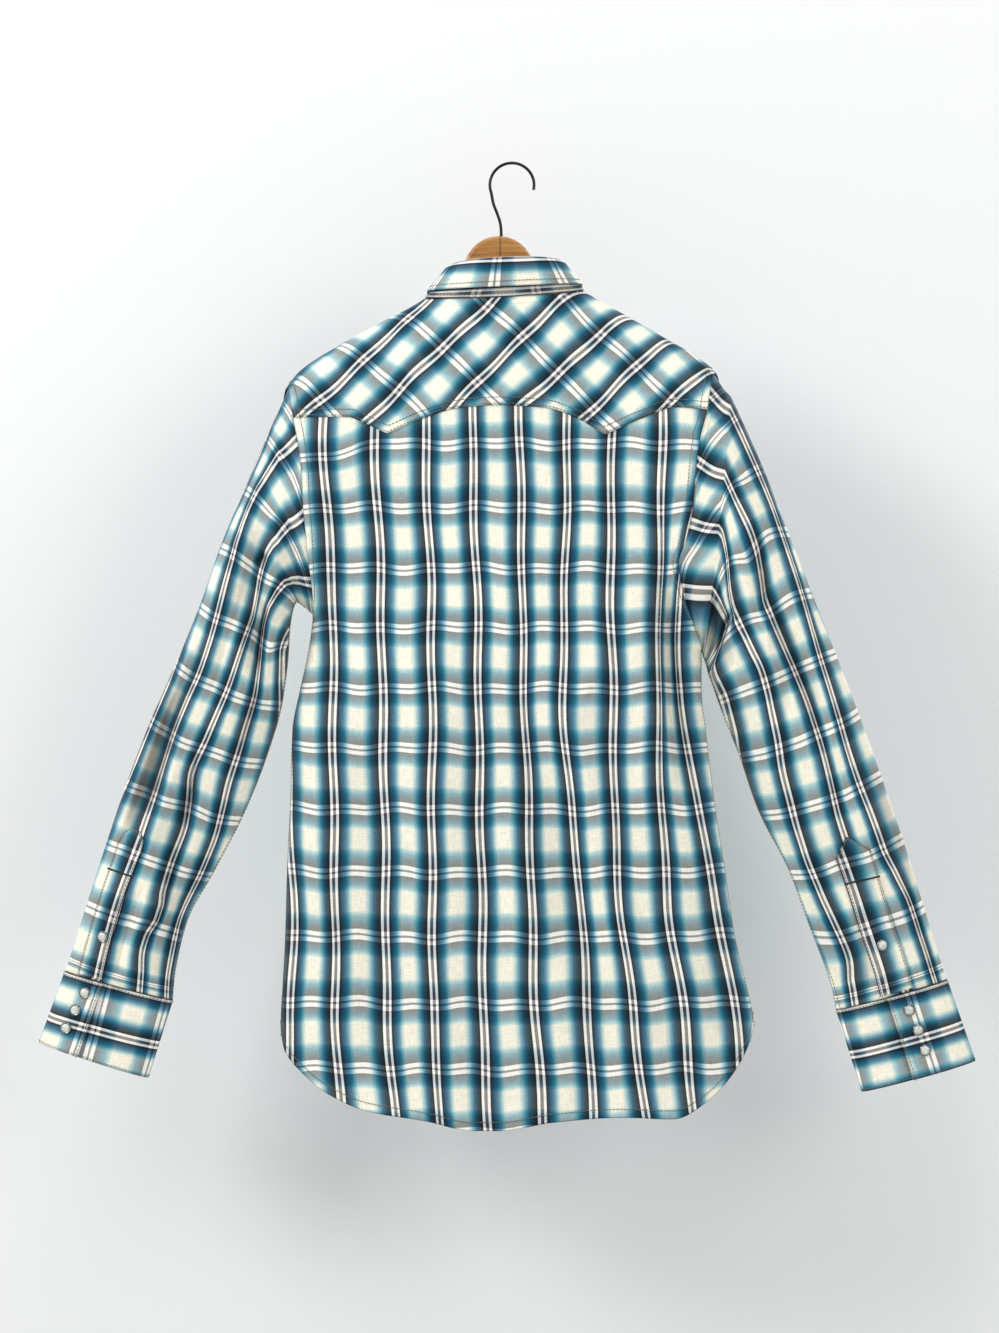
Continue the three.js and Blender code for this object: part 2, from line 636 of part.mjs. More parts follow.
// Normals of a sleeve, which starts with those of the armhole's edge, so that the seam's faces are parallel
function sleeveNormals(side) {
  const grid = sleevePoints[side];
  const normals = gridNormals(grid, true, axisOut(grid));
  const { back, yoke, frontYoke, front } = bodyNormals;
  normals[0] = armholeLoop(side, back, yoke, frontYoke[side], front[side]);
  return normals;
}

// A point of a grid between its own points, with the direction that it faces
function onGrid(grid, row, column, facing) {
  const normals = gridNormals(grid, true, facing);
  const columns = grid[0].length;
  const i = clamp(Math.floor(row), 0, grid.length - 2);
  const j = Math.floor(column);
  const [down, next] = [row - i, column - j];
  const blend = (source) => {
    const corner = (a, b) => source[a][((b % columns) + columns) % columns];
    const upper = corner(i, j).clone().lerp(corner(i, j + 1), next);
    const lower = corner(i + 1, j).clone().lerp(corner(i + 1, j + 1), next);
    return upper.lerp(lower, down);
  };
  return { point: blend(grid), normal: blend(normals).normalize() };
}

const LAYER_GAP = 0.8; // between a sleeve and the band on it, whose facets differ a little

// Whole numbers between two ends, with the ends themselves
function withEnds(from, to) {
  const inner = [];
  for (let value = Math.floor(from) + 1; value < to; value += 1) inner.push(value);
  return [from, ...inner, to];
}

// The band on a sleeve's slit, made from the sleeve's own points
function sleevePlacketGrid(side) {
  const { rows, columns } = SLEEVE_PLACKETS[side];
  const places = withEnds(...columns);
  const middle = (columns[0] + columns[1]) / 2;
  return withEnds(...rows).map((row, index) =>
    places.map((column) => {
      const point = index === 0 ? 0.22 * (1 - abs(column - middle) / (columns[1] - middle)) : 0;
      const place = onGrid(sleevePoints[side], row - point, column, axisOut(sleevePoints[side]));
      return place.point.addScaledVector(place.normal, CLOTH + LAYER_GAP);
    }),
  );
}

// Cuff: a flat tube whose end laps over itself on the photographed side
function cuffGrid(side) {
  const { top, bottom, lap } = CUFFS[side];
  return steps(CUFF_ROWS).map((down) => {
    const ring = Object.fromEntries(Object.keys(top).map((key) => [key, mix(top[key], bottom[key], down)]));
    ring.half = CUFF_HALF;
    return steps(CUFF_COLUMNS).map((part) => {
      const travelled = part * CUFF_TURN;
      const turn = lap - travelled;
      const over = smooth(1.3, 0.55, travelled) - smooth(2 * PI - 0.75, 2 * PI, travelled);
      const point = ringPoint(ring, turn);
      const middle = new THREE.Vector3((ring.outX + ring.inX) / 2, 0, (ring.outZ + ring.inZ) / 2);
      const away = point.clone().sub(middle).normalize();
      away.y *= 1.6;
      return point.addScaledVector(away.normalize(), CUFF_LIFT * over);
    });
  });
}

const cuffPoints = { left: cuffGrid('left'), right: cuffGrid('right') };

// Collar: the stand rises from the neck seam to its fold, and the leaf turns down outside it
function standPlace(turn, rise) {
  const neck = neckPlace(turn);
  const back = sin(turn) >= 0;
  const foot = overShoulder(neck.x, (back ? 1 : -1) * turnAt(neck.x, neck.z));
  foot.x -= 1.9 * STAND_FOOT_GAP * cos(turn);
  foot.z += STAND_FOOT_GAP * (1 + cos(turn) ** 2);
  const x = NECK_X + 1 + 49 * cos(turn);
  const fall = back ? -8 * sin(turn) : 58 * abs(sin(turn)) ** 1.3;
  const foldZ = -101 - fall + NECK_TILT * (x - NECK_X);
  const foldPoint = new THREE.Vector3(x, -(back ? 31 : 34) * sin(turn), foldZ);
  return foot.lerp(foldPoint, rise);
}

const standOut = (turn) => new THREE.Vector3(cos(turn), -1.2 * sin(turn), 0).normalize();

const FRONT_TURN = 1.5 * PI;
const STAND_RISE = 0.955; // how far the stand reaches up to the fold
const STAND_LAP = 0.24; // half the overlap of the stand's ends, as a turn
const LEAF_OPENING = 0.16; // half the gap between the leaf's ends, as a turn

function collarStandGrid() {
  const total = 2 * PI + 2 * STAND_LAP;
  return steps(2).map((part) =>
    steps(STAND_COLUMNS).map((along) => {
      const travelled = along * total;
      const turn = FRONT_TURN - 2 * PI + STAND_LAP - travelled;
      const over = smooth(1, 0.45, travelled) - smooth(total - 1, total - 0.45, travelled);
      const rise = STAND_RISE * part;
      return standPlace(turn, rise).addScaledVector(standOut(turn), 1.5 + 1.5 * over);
    }),
  );
}

const LEAF_SECTION = table('rise out', [[0.98, 1.8], [1.05, 2.2], [1.1, 5], [1.06, 7.9], [0.9, 8.8]]);

// Direction square to the stand's face, along which the leaf folds over it
function leafOut(turn) {
  const rise = standPlace(turn, 1).sub(standPlace(turn, 0)).normalize();
  const out = standOut(turn);
  return out.addScaledVector(rise, -out.dot(rise)).normalize();
}

// Turn at a part of the way round the leaf, from one of its front ends to the other
function leafTurn(along) {
  return FRONT_TURN - 2 * PI - LEAF_OPENING - along * (2 * PI - 2 * LEAF_OPENING);
}

function collarLeafGrid() {
  return steps(LEAF_COLUMNS).map((along) => {
    const turn = leafTurn(along);
    const front = smooth(0.1, 0.95, -sin(turn));
    const row = LEAF_SECTION.map(({ rise, out }) =>
      standPlace(turn, rise).addScaledVector(leafOut(turn), out + 1.2 * front),
    );
    const last = row[row.length - 1];
    const backEdge = standPlace(turn, 0.24).addScaledVector(standOut(turn), 8.8);
    const spreadX = NECK_X + cos(turn) * 30 + Math.sign(cos(turn)) * 34;
    const pointZ = mix(-150, -232, smooth(0.2, 0.97, -sin(turn)));
    const tip = onBody(spreadX, pointZ, 'front', 6.5);
    const edge = backEdge.lerp(tip, smooth(0.15, 0.9, -sin(turn)));
    for (const part of [0.4, 0.75, 1]) {
      const point = last.clone().lerp(edge, part);
      row.push(point.addScaledVector(standOut(turn), 11 * front * sin(PI * part)));
    }
    return row;
  });
}

function placketGrid() {
  return steps(16).map((down) => {
    const topZ = -189;
    const z = mix(topZ, -866, down);
    return [-1, 1].map((edge) => {
      const x = frontMiddle(z) + edge * (PLACKET_HALF - 0.4);
      const place = onFrontLeft(x, z);
      return place.add(new THREE.Vector3(0, CLOTH + SEAM, 0));
    });
  });
}

// Place on the left front or its yoke, whichever holds that height
function onFrontLeft(x, z) {
  const seamZ = frontYokeEdgeZ(1);
  const lift = YOKE_PROUD * smooth(seamZ - 4, seamZ + 4, z);
  return onBody(x, z, 'front', lift + 0.3);
}

// A snap: a low round cap, standing on a face
function snap(name, point, normal) {
  const profile = [
    [0, 0], [SNAP_RADIUS, 0], [SNAP_RADIUS, 1], [SNAP_RADIUS * 0.82, SNAP_HEIGHT], [0, SNAP_HEIGHT],
  ].map(([radius, height]) => new THREE.Vector2(radius, height));
  const cap = new THREE.LatheGeometry(profile, 12);
  const mesh = new THREE.Mesh(cap, new THREE.MeshStandardMaterial(LOOKS.snap));
  mesh.name = name;
  mesh.quaternion.setFromUnitVectors(new THREE.Vector3(0, 1, 0), normal);
  mesh.position.copy(point).addScaledVector(normal, SEAM);
  return mesh;
}

function hangerWood() {
  const outline = [];
  const armTop = (x) => {
    const fromMiddle = abs(x - NECK_X);
    return shoulderZ(x) - 4 - 9 * smooth(112, 60, fromMiddle) - 5 * smooth(165, 190, fromMiddle);
  };
  const tip = { left: -200, right: 180 };
  for (const part of steps(8)) {
    const x = mix(tip.left, -86, part);
    outline.push([x, armTop(x)]);
  }
  outline.push([-70, -129], [-60, -120], [-50, -108]);
  const dome = { x: -12, z: -100, radius: 33 };
  for (const part of steps(12)) {
    const angle = mix(0.91 * PI, 0.09 * PI, part);
    outline.push([dome.x + dome.radius * cos(angle), dome.z + dome.radius * sin(angle)]);
  }
  outline.push([27, -101], [42, -113], [56, -125]);
  for (const part of steps(8)) {
    const x = mix(72, tip.right, part);
    outline.push([x, armTop(x)]);
  }
  for (const part of steps(6)) {
    const x = mix(tip.right - 3, 52, part);
    outline.push([x, armTop(x) - mix(19, 27, part) - (part === 0 ? -3 : 0)]);
  }
  outline.push([20, -130], [-12, -125], [-44, -132]);
  for (const part of steps(6)) {
    const x = mix(-76, tip.left + 3, part);
    outline.push([x, armTop(x) - mix(27, 19, part) - (part === 1 ? -3 : 0)]);
  }
  const bevel = 3;
  const shape = new THREE.Shape(outline.map(([x, z]) => new THREE.Vector2(x, z)));
  const board = new THREE.ExtrudeGeometry(shape, {
    depth: 2 * (WOOD_HALF - bevel),
    bevelThickness: bevel,
    bevelSize: bevel,
    bevelOffset: -bevel,
    bevelSegments: 2,
  });
  board.translate(0, 0, bevel - WOOD_HALF);
  board.rotateX(PI / 2);
  const bore = new THREE.CylinderGeometry(WIRE_RADIUS + SEAM, WIRE_RADIUS + SEAM, 24, 12);
  bore.rotateX(PI / 2);
  bore.translate(STEM_X, 0, -74);
  const drilled = asManifold(board).subtract(asManifold(bore)).getMesh();
  const geometry = new THREE.BufferGeometry();
  geometry.setAttribute('position', new THREE.Float32BufferAttribute(drilled.vertProperties, 3));
  geometry.setIndex([...drilled.triVerts]);
  geometry.computeVertexNormals();
  const mesh = new THREE.Mesh(geometry, new THREE.MeshStandardMaterial(LOOKS.wood));
  mesh.name = 'hanger_wood';
  return mesh;
}

function asManifold(geometry) {
  const bare = geometry.clone();
  bare.deleteAttribute('normal');
  bare.deleteAttribute('uv');
  const merged = mergeVertices(bare);
  return new wasm.Manifold(
    new wasm.Mesh({
      numProp: 3,
      vertProperties: new Float32Array(merged.attributes.position.array),
      triVerts: new Uint32Array(merged.index.array),
    }),
  );
}

function hangerHook() {
  const middleZ = WIRE_RADIUS - HOOK_RADIUS;
  const path = [];
  for (const part of steps(14)) {
    const angle = mix(-0.07 * PI, 1.12 * PI, part);
    path.push(new THREE.Vector3(HOOK_RADIUS * cos(angle), 0, middleZ + HOOK_RADIUS * sin(angle)));
  }
  const stem = [[-17.4, -36], [-13.6, -46], [-10.8, -55], [STEM_X, -64], [STEM_X, -74], [STEM_X, -83]];
  for (const [x, z] of stem) {
    path.push(new THREE.Vector3(x, 0, z));
  }
  const section = new THREE.Shape();
  section.absarc(0, 0, WIRE_RADIUS, 0, 2 * PI);
  const wire = new THREE.ExtrudeGeometry(section, {
    steps: 44,
    curveSegments: 4,
    bevelEnabled: false,
    extrudePath: new THREE.CatmullRomCurve3(path),
  });
  const mesh = new THREE.Mesh(wire, new THREE.MeshStandardMaterial(LOOKS.hook));
  mesh.name = 'hanger_hook';
  return mesh;
}

function snaps() {
  const made = [];
  for (const side of ['left', 'right']) {
    const grid = cuffPoints[side];
    const facing = axisOut(grid);
    const normals = gridNormals(grid, false, facing);
    CUFFS[side].snaps.forEach(({ turn, down }, index) => {
      const column = ((CUFFS[side].lap - turn) / CUFF_TURN) * CUFF_COLUMNS;
      const row = down * CUFF_ROWS;
      const [i, j] = [Math.floor(row), Math.floor(column)];
      const blend = (source) => {
        const upper = source[i][j].clone().lerp(source[i][j + 1], column - j);
        return upper.lerp(source[i + 1][j].clone().lerp(source[i + 1][j + 1], column - j), row - i);
      };
      made.push(snap(`snap_cuff_${side}_${index + 1}`, blend(grid), blend(normals).normalize()));
    });
    const band = SLEEVE_PLACKETS[side];
    const middle = (band.columns[0] + band.columns[1]) / 2;
    const { point, normal } = onGrid(sleevePoints[side], band.snap, middle, axisOut(sleevePoints[side]));
    point.addScaledVector(normal, CLOTH + LAYER_GAP + 0.4);
    made.push(snap(`snap_sleeve_${side}`, point, normal));
  }
  const forward = new THREE.Vector3(0, 1, 0);
  for (const index of Array(7).keys()) {
    const z = -228 - 91 * index;
    const point = onFrontLeft(frontMiddle(z), z).add(new THREE.Vector3(0, CLOTH + SEAM + 0.3, 0));
    made.push(snap(`snap_front_${index + 1}`, point, forward));
  }
  const stand = standPlace(FRONT_TURN, 0.45).addScaledVector(standOut(FRONT_TURN), 3.5);
  made.push(snap('snap_collar', stand, new THREE.Vector3(0, 1, 0.3).normalize()));
  return made;
}

const standPoints = collarStandGrid();
const leafPoints = collarLeafGrid();
const placketPoints = placketGrid();
const shirt = new THREE.Group();
shirt.add(
  clothWall('back', backPoints, CLOTH, bodyNormals.back),
  clothWall('back_yoke', yokePoints, YOKE_CLOTH, bodyNormals.yoke),
  clothWall('front_placket', placketPoints, CLOTH, gridNormals(placketPoints, false, facingFront)),
  clothWall('collar_stand', standPoints, BAND, gridNormals(standPoints, false, (i, j) => standFacing(j))),
  clothWall('collar_leaf', leafPoints, LEAF, gridNormals(leafPoints, false, leafFacing)),
);

function standFacing(column) {
  const total = 2 * PI + 2 * STAND_LAP;
  return standOut(FRONT_TURN - 2 * PI + STAND_LAP - (column / STAND_COLUMNS) * total);
}

function leafFacing(row) {
  return standOut(leafTurn(row / LEAF_COLUMNS));
}

for (const side of ['left', 'right']) {
  const bandPoints = sleevePlacketGrid(side);
  const cuff = cuffPoints[side];
  shirt.add(
    clothWall(`front_${side}`, frontPoints[side], CLOTH, bodyNormals.front[side]),
    clothWall(`front_yoke_${side}`, frontYokePoints[side], CLOTH, bodyNormals.frontYoke[side]),
    clothWall(`sleeve_${side}`, sleevePoints[side], CLOTH, sleeveNormals(side), true),
    clothWall(`sleeve_placket_${side}`, bandPoints, CLOTH, gridNormals(bandPoints, false, facingBack)),
    clothWall(`cuff_${side}`, cuff, BAND, gridNormals(cuff, false, axisOut(cuff))),
  );
}
shirt.add(...snaps(), hangerWood(), hangerHook());

export default shirt;
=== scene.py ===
"""Looks of a plaid western shirt with pearl snaps that hangs on a wooden hanger.

Sizes and places are in millimetres and become metres when a mesh is made. The back of the shirt faces -Y,
+Z is up, and the origin is the inner top of the hanger's hook. The wearer's left is at -X.
"""

import logging
import math
from dataclasses import dataclass, field
from enum import Enum

import bmesh
import bpy
import numpy as np
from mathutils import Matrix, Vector


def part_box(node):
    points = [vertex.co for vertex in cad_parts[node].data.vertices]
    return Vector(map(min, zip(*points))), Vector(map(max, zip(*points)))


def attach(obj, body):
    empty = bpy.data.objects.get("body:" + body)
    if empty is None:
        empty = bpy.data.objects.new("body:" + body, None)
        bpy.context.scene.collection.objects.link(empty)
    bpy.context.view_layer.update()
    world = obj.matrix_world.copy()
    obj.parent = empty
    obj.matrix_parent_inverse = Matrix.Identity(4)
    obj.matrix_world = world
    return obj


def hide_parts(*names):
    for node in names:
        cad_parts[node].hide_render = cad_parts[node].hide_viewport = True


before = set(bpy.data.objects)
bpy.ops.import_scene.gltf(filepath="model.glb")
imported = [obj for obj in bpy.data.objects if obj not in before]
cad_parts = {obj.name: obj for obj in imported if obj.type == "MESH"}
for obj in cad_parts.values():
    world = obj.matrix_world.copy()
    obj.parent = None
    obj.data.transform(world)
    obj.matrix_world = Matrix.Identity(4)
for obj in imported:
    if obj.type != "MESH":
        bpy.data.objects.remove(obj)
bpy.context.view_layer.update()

LOG = logging.getLogger("shirt")
MM = 0.001
BODY = "root"

CLOTH = 0.8  # thickness of a shell of shirting
FULL_DEPTH_Z = -320.0  # where the shoulders have opened to the full depth of the body
ARMHOLE_DEPTH = 46.0
SIDE_ROUNDING = 2.4
SHOULDER_TURN = 0.35
PLACKET_HALF = 17.0
YOKE_PROUD = 1.0  # the double yoke stands this far over the panels under it
UNDERLAP = 2.6  # the right front passes this far under the left one
NECK_X = -7.0
NECK_HALF = 75.0
NECK_TILT = 0.047
STAND_FOOT_GAP = 1.5
STAND_LAP = 0.24
FRONT_TURN = 1.5 * math.pi
CUFF_LAP_LENGTH = 0.62
CUFF_HALF = 18.6
YOKE_TOP_Z = {"left": -238.0, "right": -231.0}
YOKE_LEVEL = -238.0  # the height at which the columns of the back are spread
SHOULDER_END = {"left": -214.0, "right": 195.0}
UNDERARM = {"left": -422.0, "right": -452.0}
SIDE_SEAM_END = {"left": -805.0, "right": -797.0}

WARP_REPEAT = 45.0
WEFT_REPEAT = 57.5
PAIR_MIDDLE = 0.0775  # the middle of the two white stripes, as a part of a repeat
# Whole repeats of warp and weft added on the sleeves and on the collar, so that their yarns differ
SLEEVE_START = (30, 20)
COLLAR_START = (5, 20)

SHOULDER = [
    (-222, -236), (-214, -216), (-206, -203), (-196, -192), (-160, -169), (-120, -147), (-82, -126),
    (-62, -105), (-40, -88), (-6, -80), (28, -86), (50, -100), (68, -119), (100, -138), (138, -160),
    (175, -182), (188, -193), (196, -205), (204, -224),
]

# Height, side outline of the body, and its greatest depth behind and in front of the hanger
BODY_ROWS = [
    (-900, -215, 227, 48, 44), (-830, -215, 227, 50, 46), (-797, -215, 225, 52, 48),
    (-758, -213, 217, 54, 50), (-721, -211, 208, 56, 52), (-656, -209, 198, 58, 54),
    (-591, -206, 188, 60, 56), (-526, -204, 180, 61, 57), (-489, -197, 176, 61, 58),
    (-452, -189, 176, 60, 58), (-422, -185, 165, 59, 57), (-405, -184, 159, 58, 57),
    (-372, -187, 153, 56, 56), (-350, -189, 160, 54, 55), (-320, -192, 166, 52, 54),
    (-284, -194, 169, 52, 54), (-256, -198, 173, 52, 54), (-238, -202, 178, 52, 54),
]
YOKE_EDGE = [
    (-204, -238), (-151, -238), (-137, -243), (-115, -253.5), (-86, -241), (-48, -230), (-11, -227.5),
    (31, -230), (59, -239), (85, -254.5), (119, -239.5), (150, -229), (182, -231),
]
YOKE_POINTS = (-115, 85)
FRONT_YOKE_EDGE = [(0, -236), (0.3, -240), (0.47, -262), (0.68, -243), (1, -236)]
HEM = [
    (-215, -805), (-211, -822), (-196, -840), (-169, -861), (-132, -876), (-80, -884), (-34, -893),
    (-12, -893), (40, -885), (100, -881), (150, -883), (180, -868), (207, -840), (222, -812), (226, -797),
]

# Outer and inner end of each ring of a sleeve, and its half depth
SLEEVE_RINGS = {
    "left": [
        (-221, -238, -192, -412, 47), (-235, -270, -200, -407, 48), (-251, -308, -205, -420, 48),
        (-270, -353, -207, -438, 48), (-290, -410, -208, -456, 47), (-311, -461, -214, -502, 46),
        (-336, -517, -228, -550, 44), (-357, -572, -250, -605, 42), (-376, -628, -277, -657, 39),
        (-394, -684, -303, -706, 34), (-409, -731, -314, -757, 25), (-415.2, -749.6, -315.6, -776.3, 18.2),
    ],
    "right": [
        (203, -215, 177, -454, 47), (216, -243, 178, -458, 48), (235, -286, 180, -463, 48),
        (255, -338, 183, -474, 48), (276, -392, 188, -488, 48), (299, -450, 197, -513, 46),
        (321, -507, 211, -548, 44), (342, -565, 229, -600, 42), (363, -626, 257, -655, 39),
        (381, -684, 276, -706, 34), (397, -736, 297, -763, 25), (404.1, -757.4, 301.6, -785.6, 18.2),
    ],
}

# Top and bottom line of each cuff (outer x, z, inner x, z), and the turn at which it laps
CUFF_LINES = {
    "left": ((-416, -750, -315, -777), (-440, -816, -338, -849), 1.33),
    "right": ((405, -758, 301, -786), (431, -833, 325, -862), 1.69),
}
# Upper and lower end of the band on each sleeve's slit, as rings, and the turns of its sides
SLEEVE_BAND = {"left": (8.95, 11.86, 1.28, 0.72), "right": (9.0, 11.86, 1.80, 1.20)}


class Face(Enum):
    """The two faces of the body."""

    BACK = "back"
    FRONT = "front"


class Side(Enum):
    """The wearer's two sides."""

    LEFT = "left"
    RIGHT = "right"

    @property
    def outward(self) -> int:
        """Direction in X from the body to this side."""
        return -1 if self is Side.LEFT else 1


class Edge(Enum):
    """The edges of a grid of points: its first and last row, and its first and last column."""

    TOP = "top"
    BOTTOM = "bottom"
    START = "start"
    END = "end"

    def first(self, grid: np.ndarray) -> np.ndarray:
        """The grid turned so that this edge is its first row; turning it again turns it back."""
        if self is Edge.BOTTOM:
            return grid[::-1]
        if self is Edge.START:
            return grid.swapaxes(0, 1)
        if self is Edge.END:
            return grid[:, ::-1].swapaxes(0, 1)
        return grid

    def back(self, grid: np.ndarray) -> np.ndarray:
        """Undoes what first does."""
        if self is Edge.END:
            return grid.swapaxes(0, 1)[:, ::-1]
        return self.first(grid)


def mix(a: np.ndarray, b: np.ndarray, part: np.ndarray) -> np.ndarray:
    """Value between a (part 0) and b (part 1), each a number or an array."""
    return a + (b - a) * part


def smooth(low: float, high: float, value: np.ndarray) -> np.ndarray:
    """Smooth step from 0 at low to 1 at high, which may be the smaller of the two."""
    part = np.clip((value - low) / (high - low), 0, 1)
    return part * part * (3 - 2 * part)


class Curve:
    """A smooth curve through the rows of a table that never overshoots them."""

    def __init__(self, rows: list, corners: tuple = (), column: int = 1, at: int = 0) -> None:
        """Sets up the curve.

        Args:
            rows: The table's rows.
            corners: Positions at which the curve has a corner.
            column: The column of the values.
            at: The column of the positions.
        """
        ordered = np.array(sorted(rows, key=lambda row: row[at]), float)
        self.at, self.value = ordered[:, at], ordered[:, column]
        self.slope = np.diff(self.value) / np.diff(self.at)
        product = self.slope[:-1] * self.slope[1:]
        total = self.slope[:-1] + self.slope[1:]
        inner = np.where(product > 0, 2 * product / np.where(total == 0, 1, total), 0)
        tangent = np.concatenate([self.slope[:1], inner, self.slope[-1:]])
        self.first, self.second = tangent[:-1].copy(), tangent[1:].copy()
        for corner in corners:
            i = int(np.argmin(abs(self.at - corner)))
            self.first[i], self.second[i - 1] = self.slope[i], self.slope[i - 1]

    def __call__(self, position: np.ndarray) -> np.ndarray:
        """Value at a position, or at each of several."""
        place = np.asarray(position, float)
        i = np.clip(np.searchsorted(self.at, place, side="right") - 1, 0, len(self.slope) - 1)
        length = self.at[i + 1] - self.at[i]
        s = np.clip((place - self.at[i]) / length, 0, 1)
        rise = self.value[i + 1] - self.value[i]
        first, second = self.first[i] * length, self.second[i] * length
        bend = 3 * rise - 2 * first - second + s * (first + second - 2 * rise)
        inside = self.value[i] + s * (first + s * bend)
        below = np.minimum(place - self.at[0], 0) * self.slope[0]
        above = np.maximum(place - self.at[-1], 0) * self.slope[-1]
        return inside + below + above


@dataclass(frozen=True)
class Fold:
    """A fold in a face: a line on it, how far the cloth stands out there, and its half width.

    A power of 2 gives a soft trough or ridge, and a lower one a sharper crease.
    """

    x0: float
    z0: float
    x1: float
    z1: float
    bend: float
    depth: float
    width: float
    power: float = 2.0

    def height(self, x: np.ndarray, z: np.ndarray) -> np.ndarray:
        """Height of the fold over the smooth cloth at each place."""
        along_x, along_z = self.x1 - self.x0, self.z1 - self.z0
        length = math.hypot(along_x, along_z)
        part = ((x - self.x0) * along_x + (z - self.z0) * along_z) / length**2
        sideways = ((z - self.z0) * along_x - (x - self.x0) * along_z) / length
        off = abs(sideways - self.bend * 4 * part * (1 - part)) / self.width
        return self.depth * np.exp(-(off**self.power)) * smooth(-0.12, 0.25, part) * smooth(1.12, 0.75, part)


def height_of(folds: list, x: np.ndarray, z: np.ndarray) -> np.ndarray:
    """Height of all the folds of a list at each place."""
    return sum((fold.height(x, z) for fold in folds), np.zeros_like(x + z))


# The folds that the solids have too come first in each list
BACK_FOLDS = [
    Fold(140, -350, 160, -590, -6, -17, 13), Fold(120, -370, 138, -600, 0, 7, 17),
    Fold(30, -440, 128, -850, 12, 7, 22), Fold(-5, -470, 88, -860, 8, -6, 22),
    Fold(-85, -420, -62, -880, 5, 5, 24), Fold(-45, -420, -18, -880, 0, -5, 20),
    Fold(-150, -480, -135, -860, 4, -5, 22), Fold(-196, -650, -165, -740, 6, -7, 14),
    Fold(175, -640, 195, -830, 0, -7, 14), Fold(-165, -300, -150, -420, 0, -4, 14),
    Fold(146, -372, 151, -505, -2, -5, 4, 1.3), Fold(150, -500, 172, -600, 3, -3, 6, 1.4),
    Fold(112, -395, 124, -520, 3, -3, 8, 1.5), Fold(100, -420, 60, -520, -5, 2.4, 9),
    Fold(85, -262, 90, -350, 2, 2.2, 9), Fold(-115, -262, -118, -345, -2, 2.0, 10),
    Fold(48, -480, 76, -690, 6, 2.6, 8, 1.5), Fold(76, -690, 128, -830, 4, 3.0, 9, 1.5),
    Fold(20, -600, 40, -760, 4, -2.4, 10), Fold(98, -610, 124, -760, 4, -3.2, 9, 1.5),
    Fold(-200, -676, -186, -720, 4, -3.5, 5, 1.4), Fold(-186, -560, -176, -700, 3, 3.0, 10),
    Fold(-175, -395, -128, -440, -3, -2.4, 7, 1.5), Fold(-180, -425, -120, -480, -5, 2.2, 9),
    Fold(-120, -500, -104, -700, 3, 2.2, 12), Fold(-98, -640, -84, -860, 3, -2.6, 11),
    Fold(-30, -700, -12, -880, 3, 3.0, 13), Fold(36, -760, 52, -880, 2, 3.0, 12),
    Fold(150, -700, 176, -850, 3, 3.2, 11), Fold(-168, -760, -150, -860, 2, 3.0, 12),
    Fold(4, -300, -2, -420, 3, 1.4, 18), Fold(-60, -290, -66, -420, -3, -1.4, 18),
]
FRONT_FOLDS = [
    Fold(-140, -330, -165, -600, 6, -11, 14), Fold(-110, -380, -70, -840, 8, 6, 22),
    Fold(130, -340, 150, -600, 5, -11, 14), Fold(95, -400, 70, -850, -8, 6, 22),
    Fold(-150, -560, -125, -860, 0, -6, 20), Fold(150, -600, 130, -860, 0, -6, 20),
    Fold(-146, -360, -152, -520, 3, -3.5, 5, 1.4), Fold(136, -360, 142, -500, 3, -3.5, 5, 1.4),
    Fold(-64, -470, -48, -800, 4, -3, 13), Fold(50, -430, 44, -780, -4, -3, 13),
    Fold(-178, -640, -160, -780, 4, 3, 12), Fold(176, -600, 184, -780, 3, 3, 12),
    Fold(-96, -300, -100, -400, 2, 2, 12), Fold(92, -300, 96, -400, 2, -2, 12),
]
SLEEVE_FOLDS = {
    "left": [
        Fold(-236, -330, -238, -480, 0, -9, 11), Fold(-262, -330, -275, -470, 0, 4, 14),
        Fold(-312, -480, -348, -610, 6, -10, 12), Fold(-258, -370, -310, -545, -6, 6, 14),
        Fold(-285, -560, -325, -700, -5, -6, 13), Fold(-330, -600, -352, -690, 0, 4, 14),
    ],
    "right": [
        Fold(172, -320, 198, -365, 4, -7, 9), Fold(180, -405, 196, -470, 0, -12, 11),
        Fold(205, -320, 245, -500, 6, 5, 14), Fold(225, -360, 250, -510, 0, -7, 12),
        Fold(275, -520, 305, -640, 0, 5, 15), Fold(290, -600, 372, -740, -8, -7, 13),
    ],
}
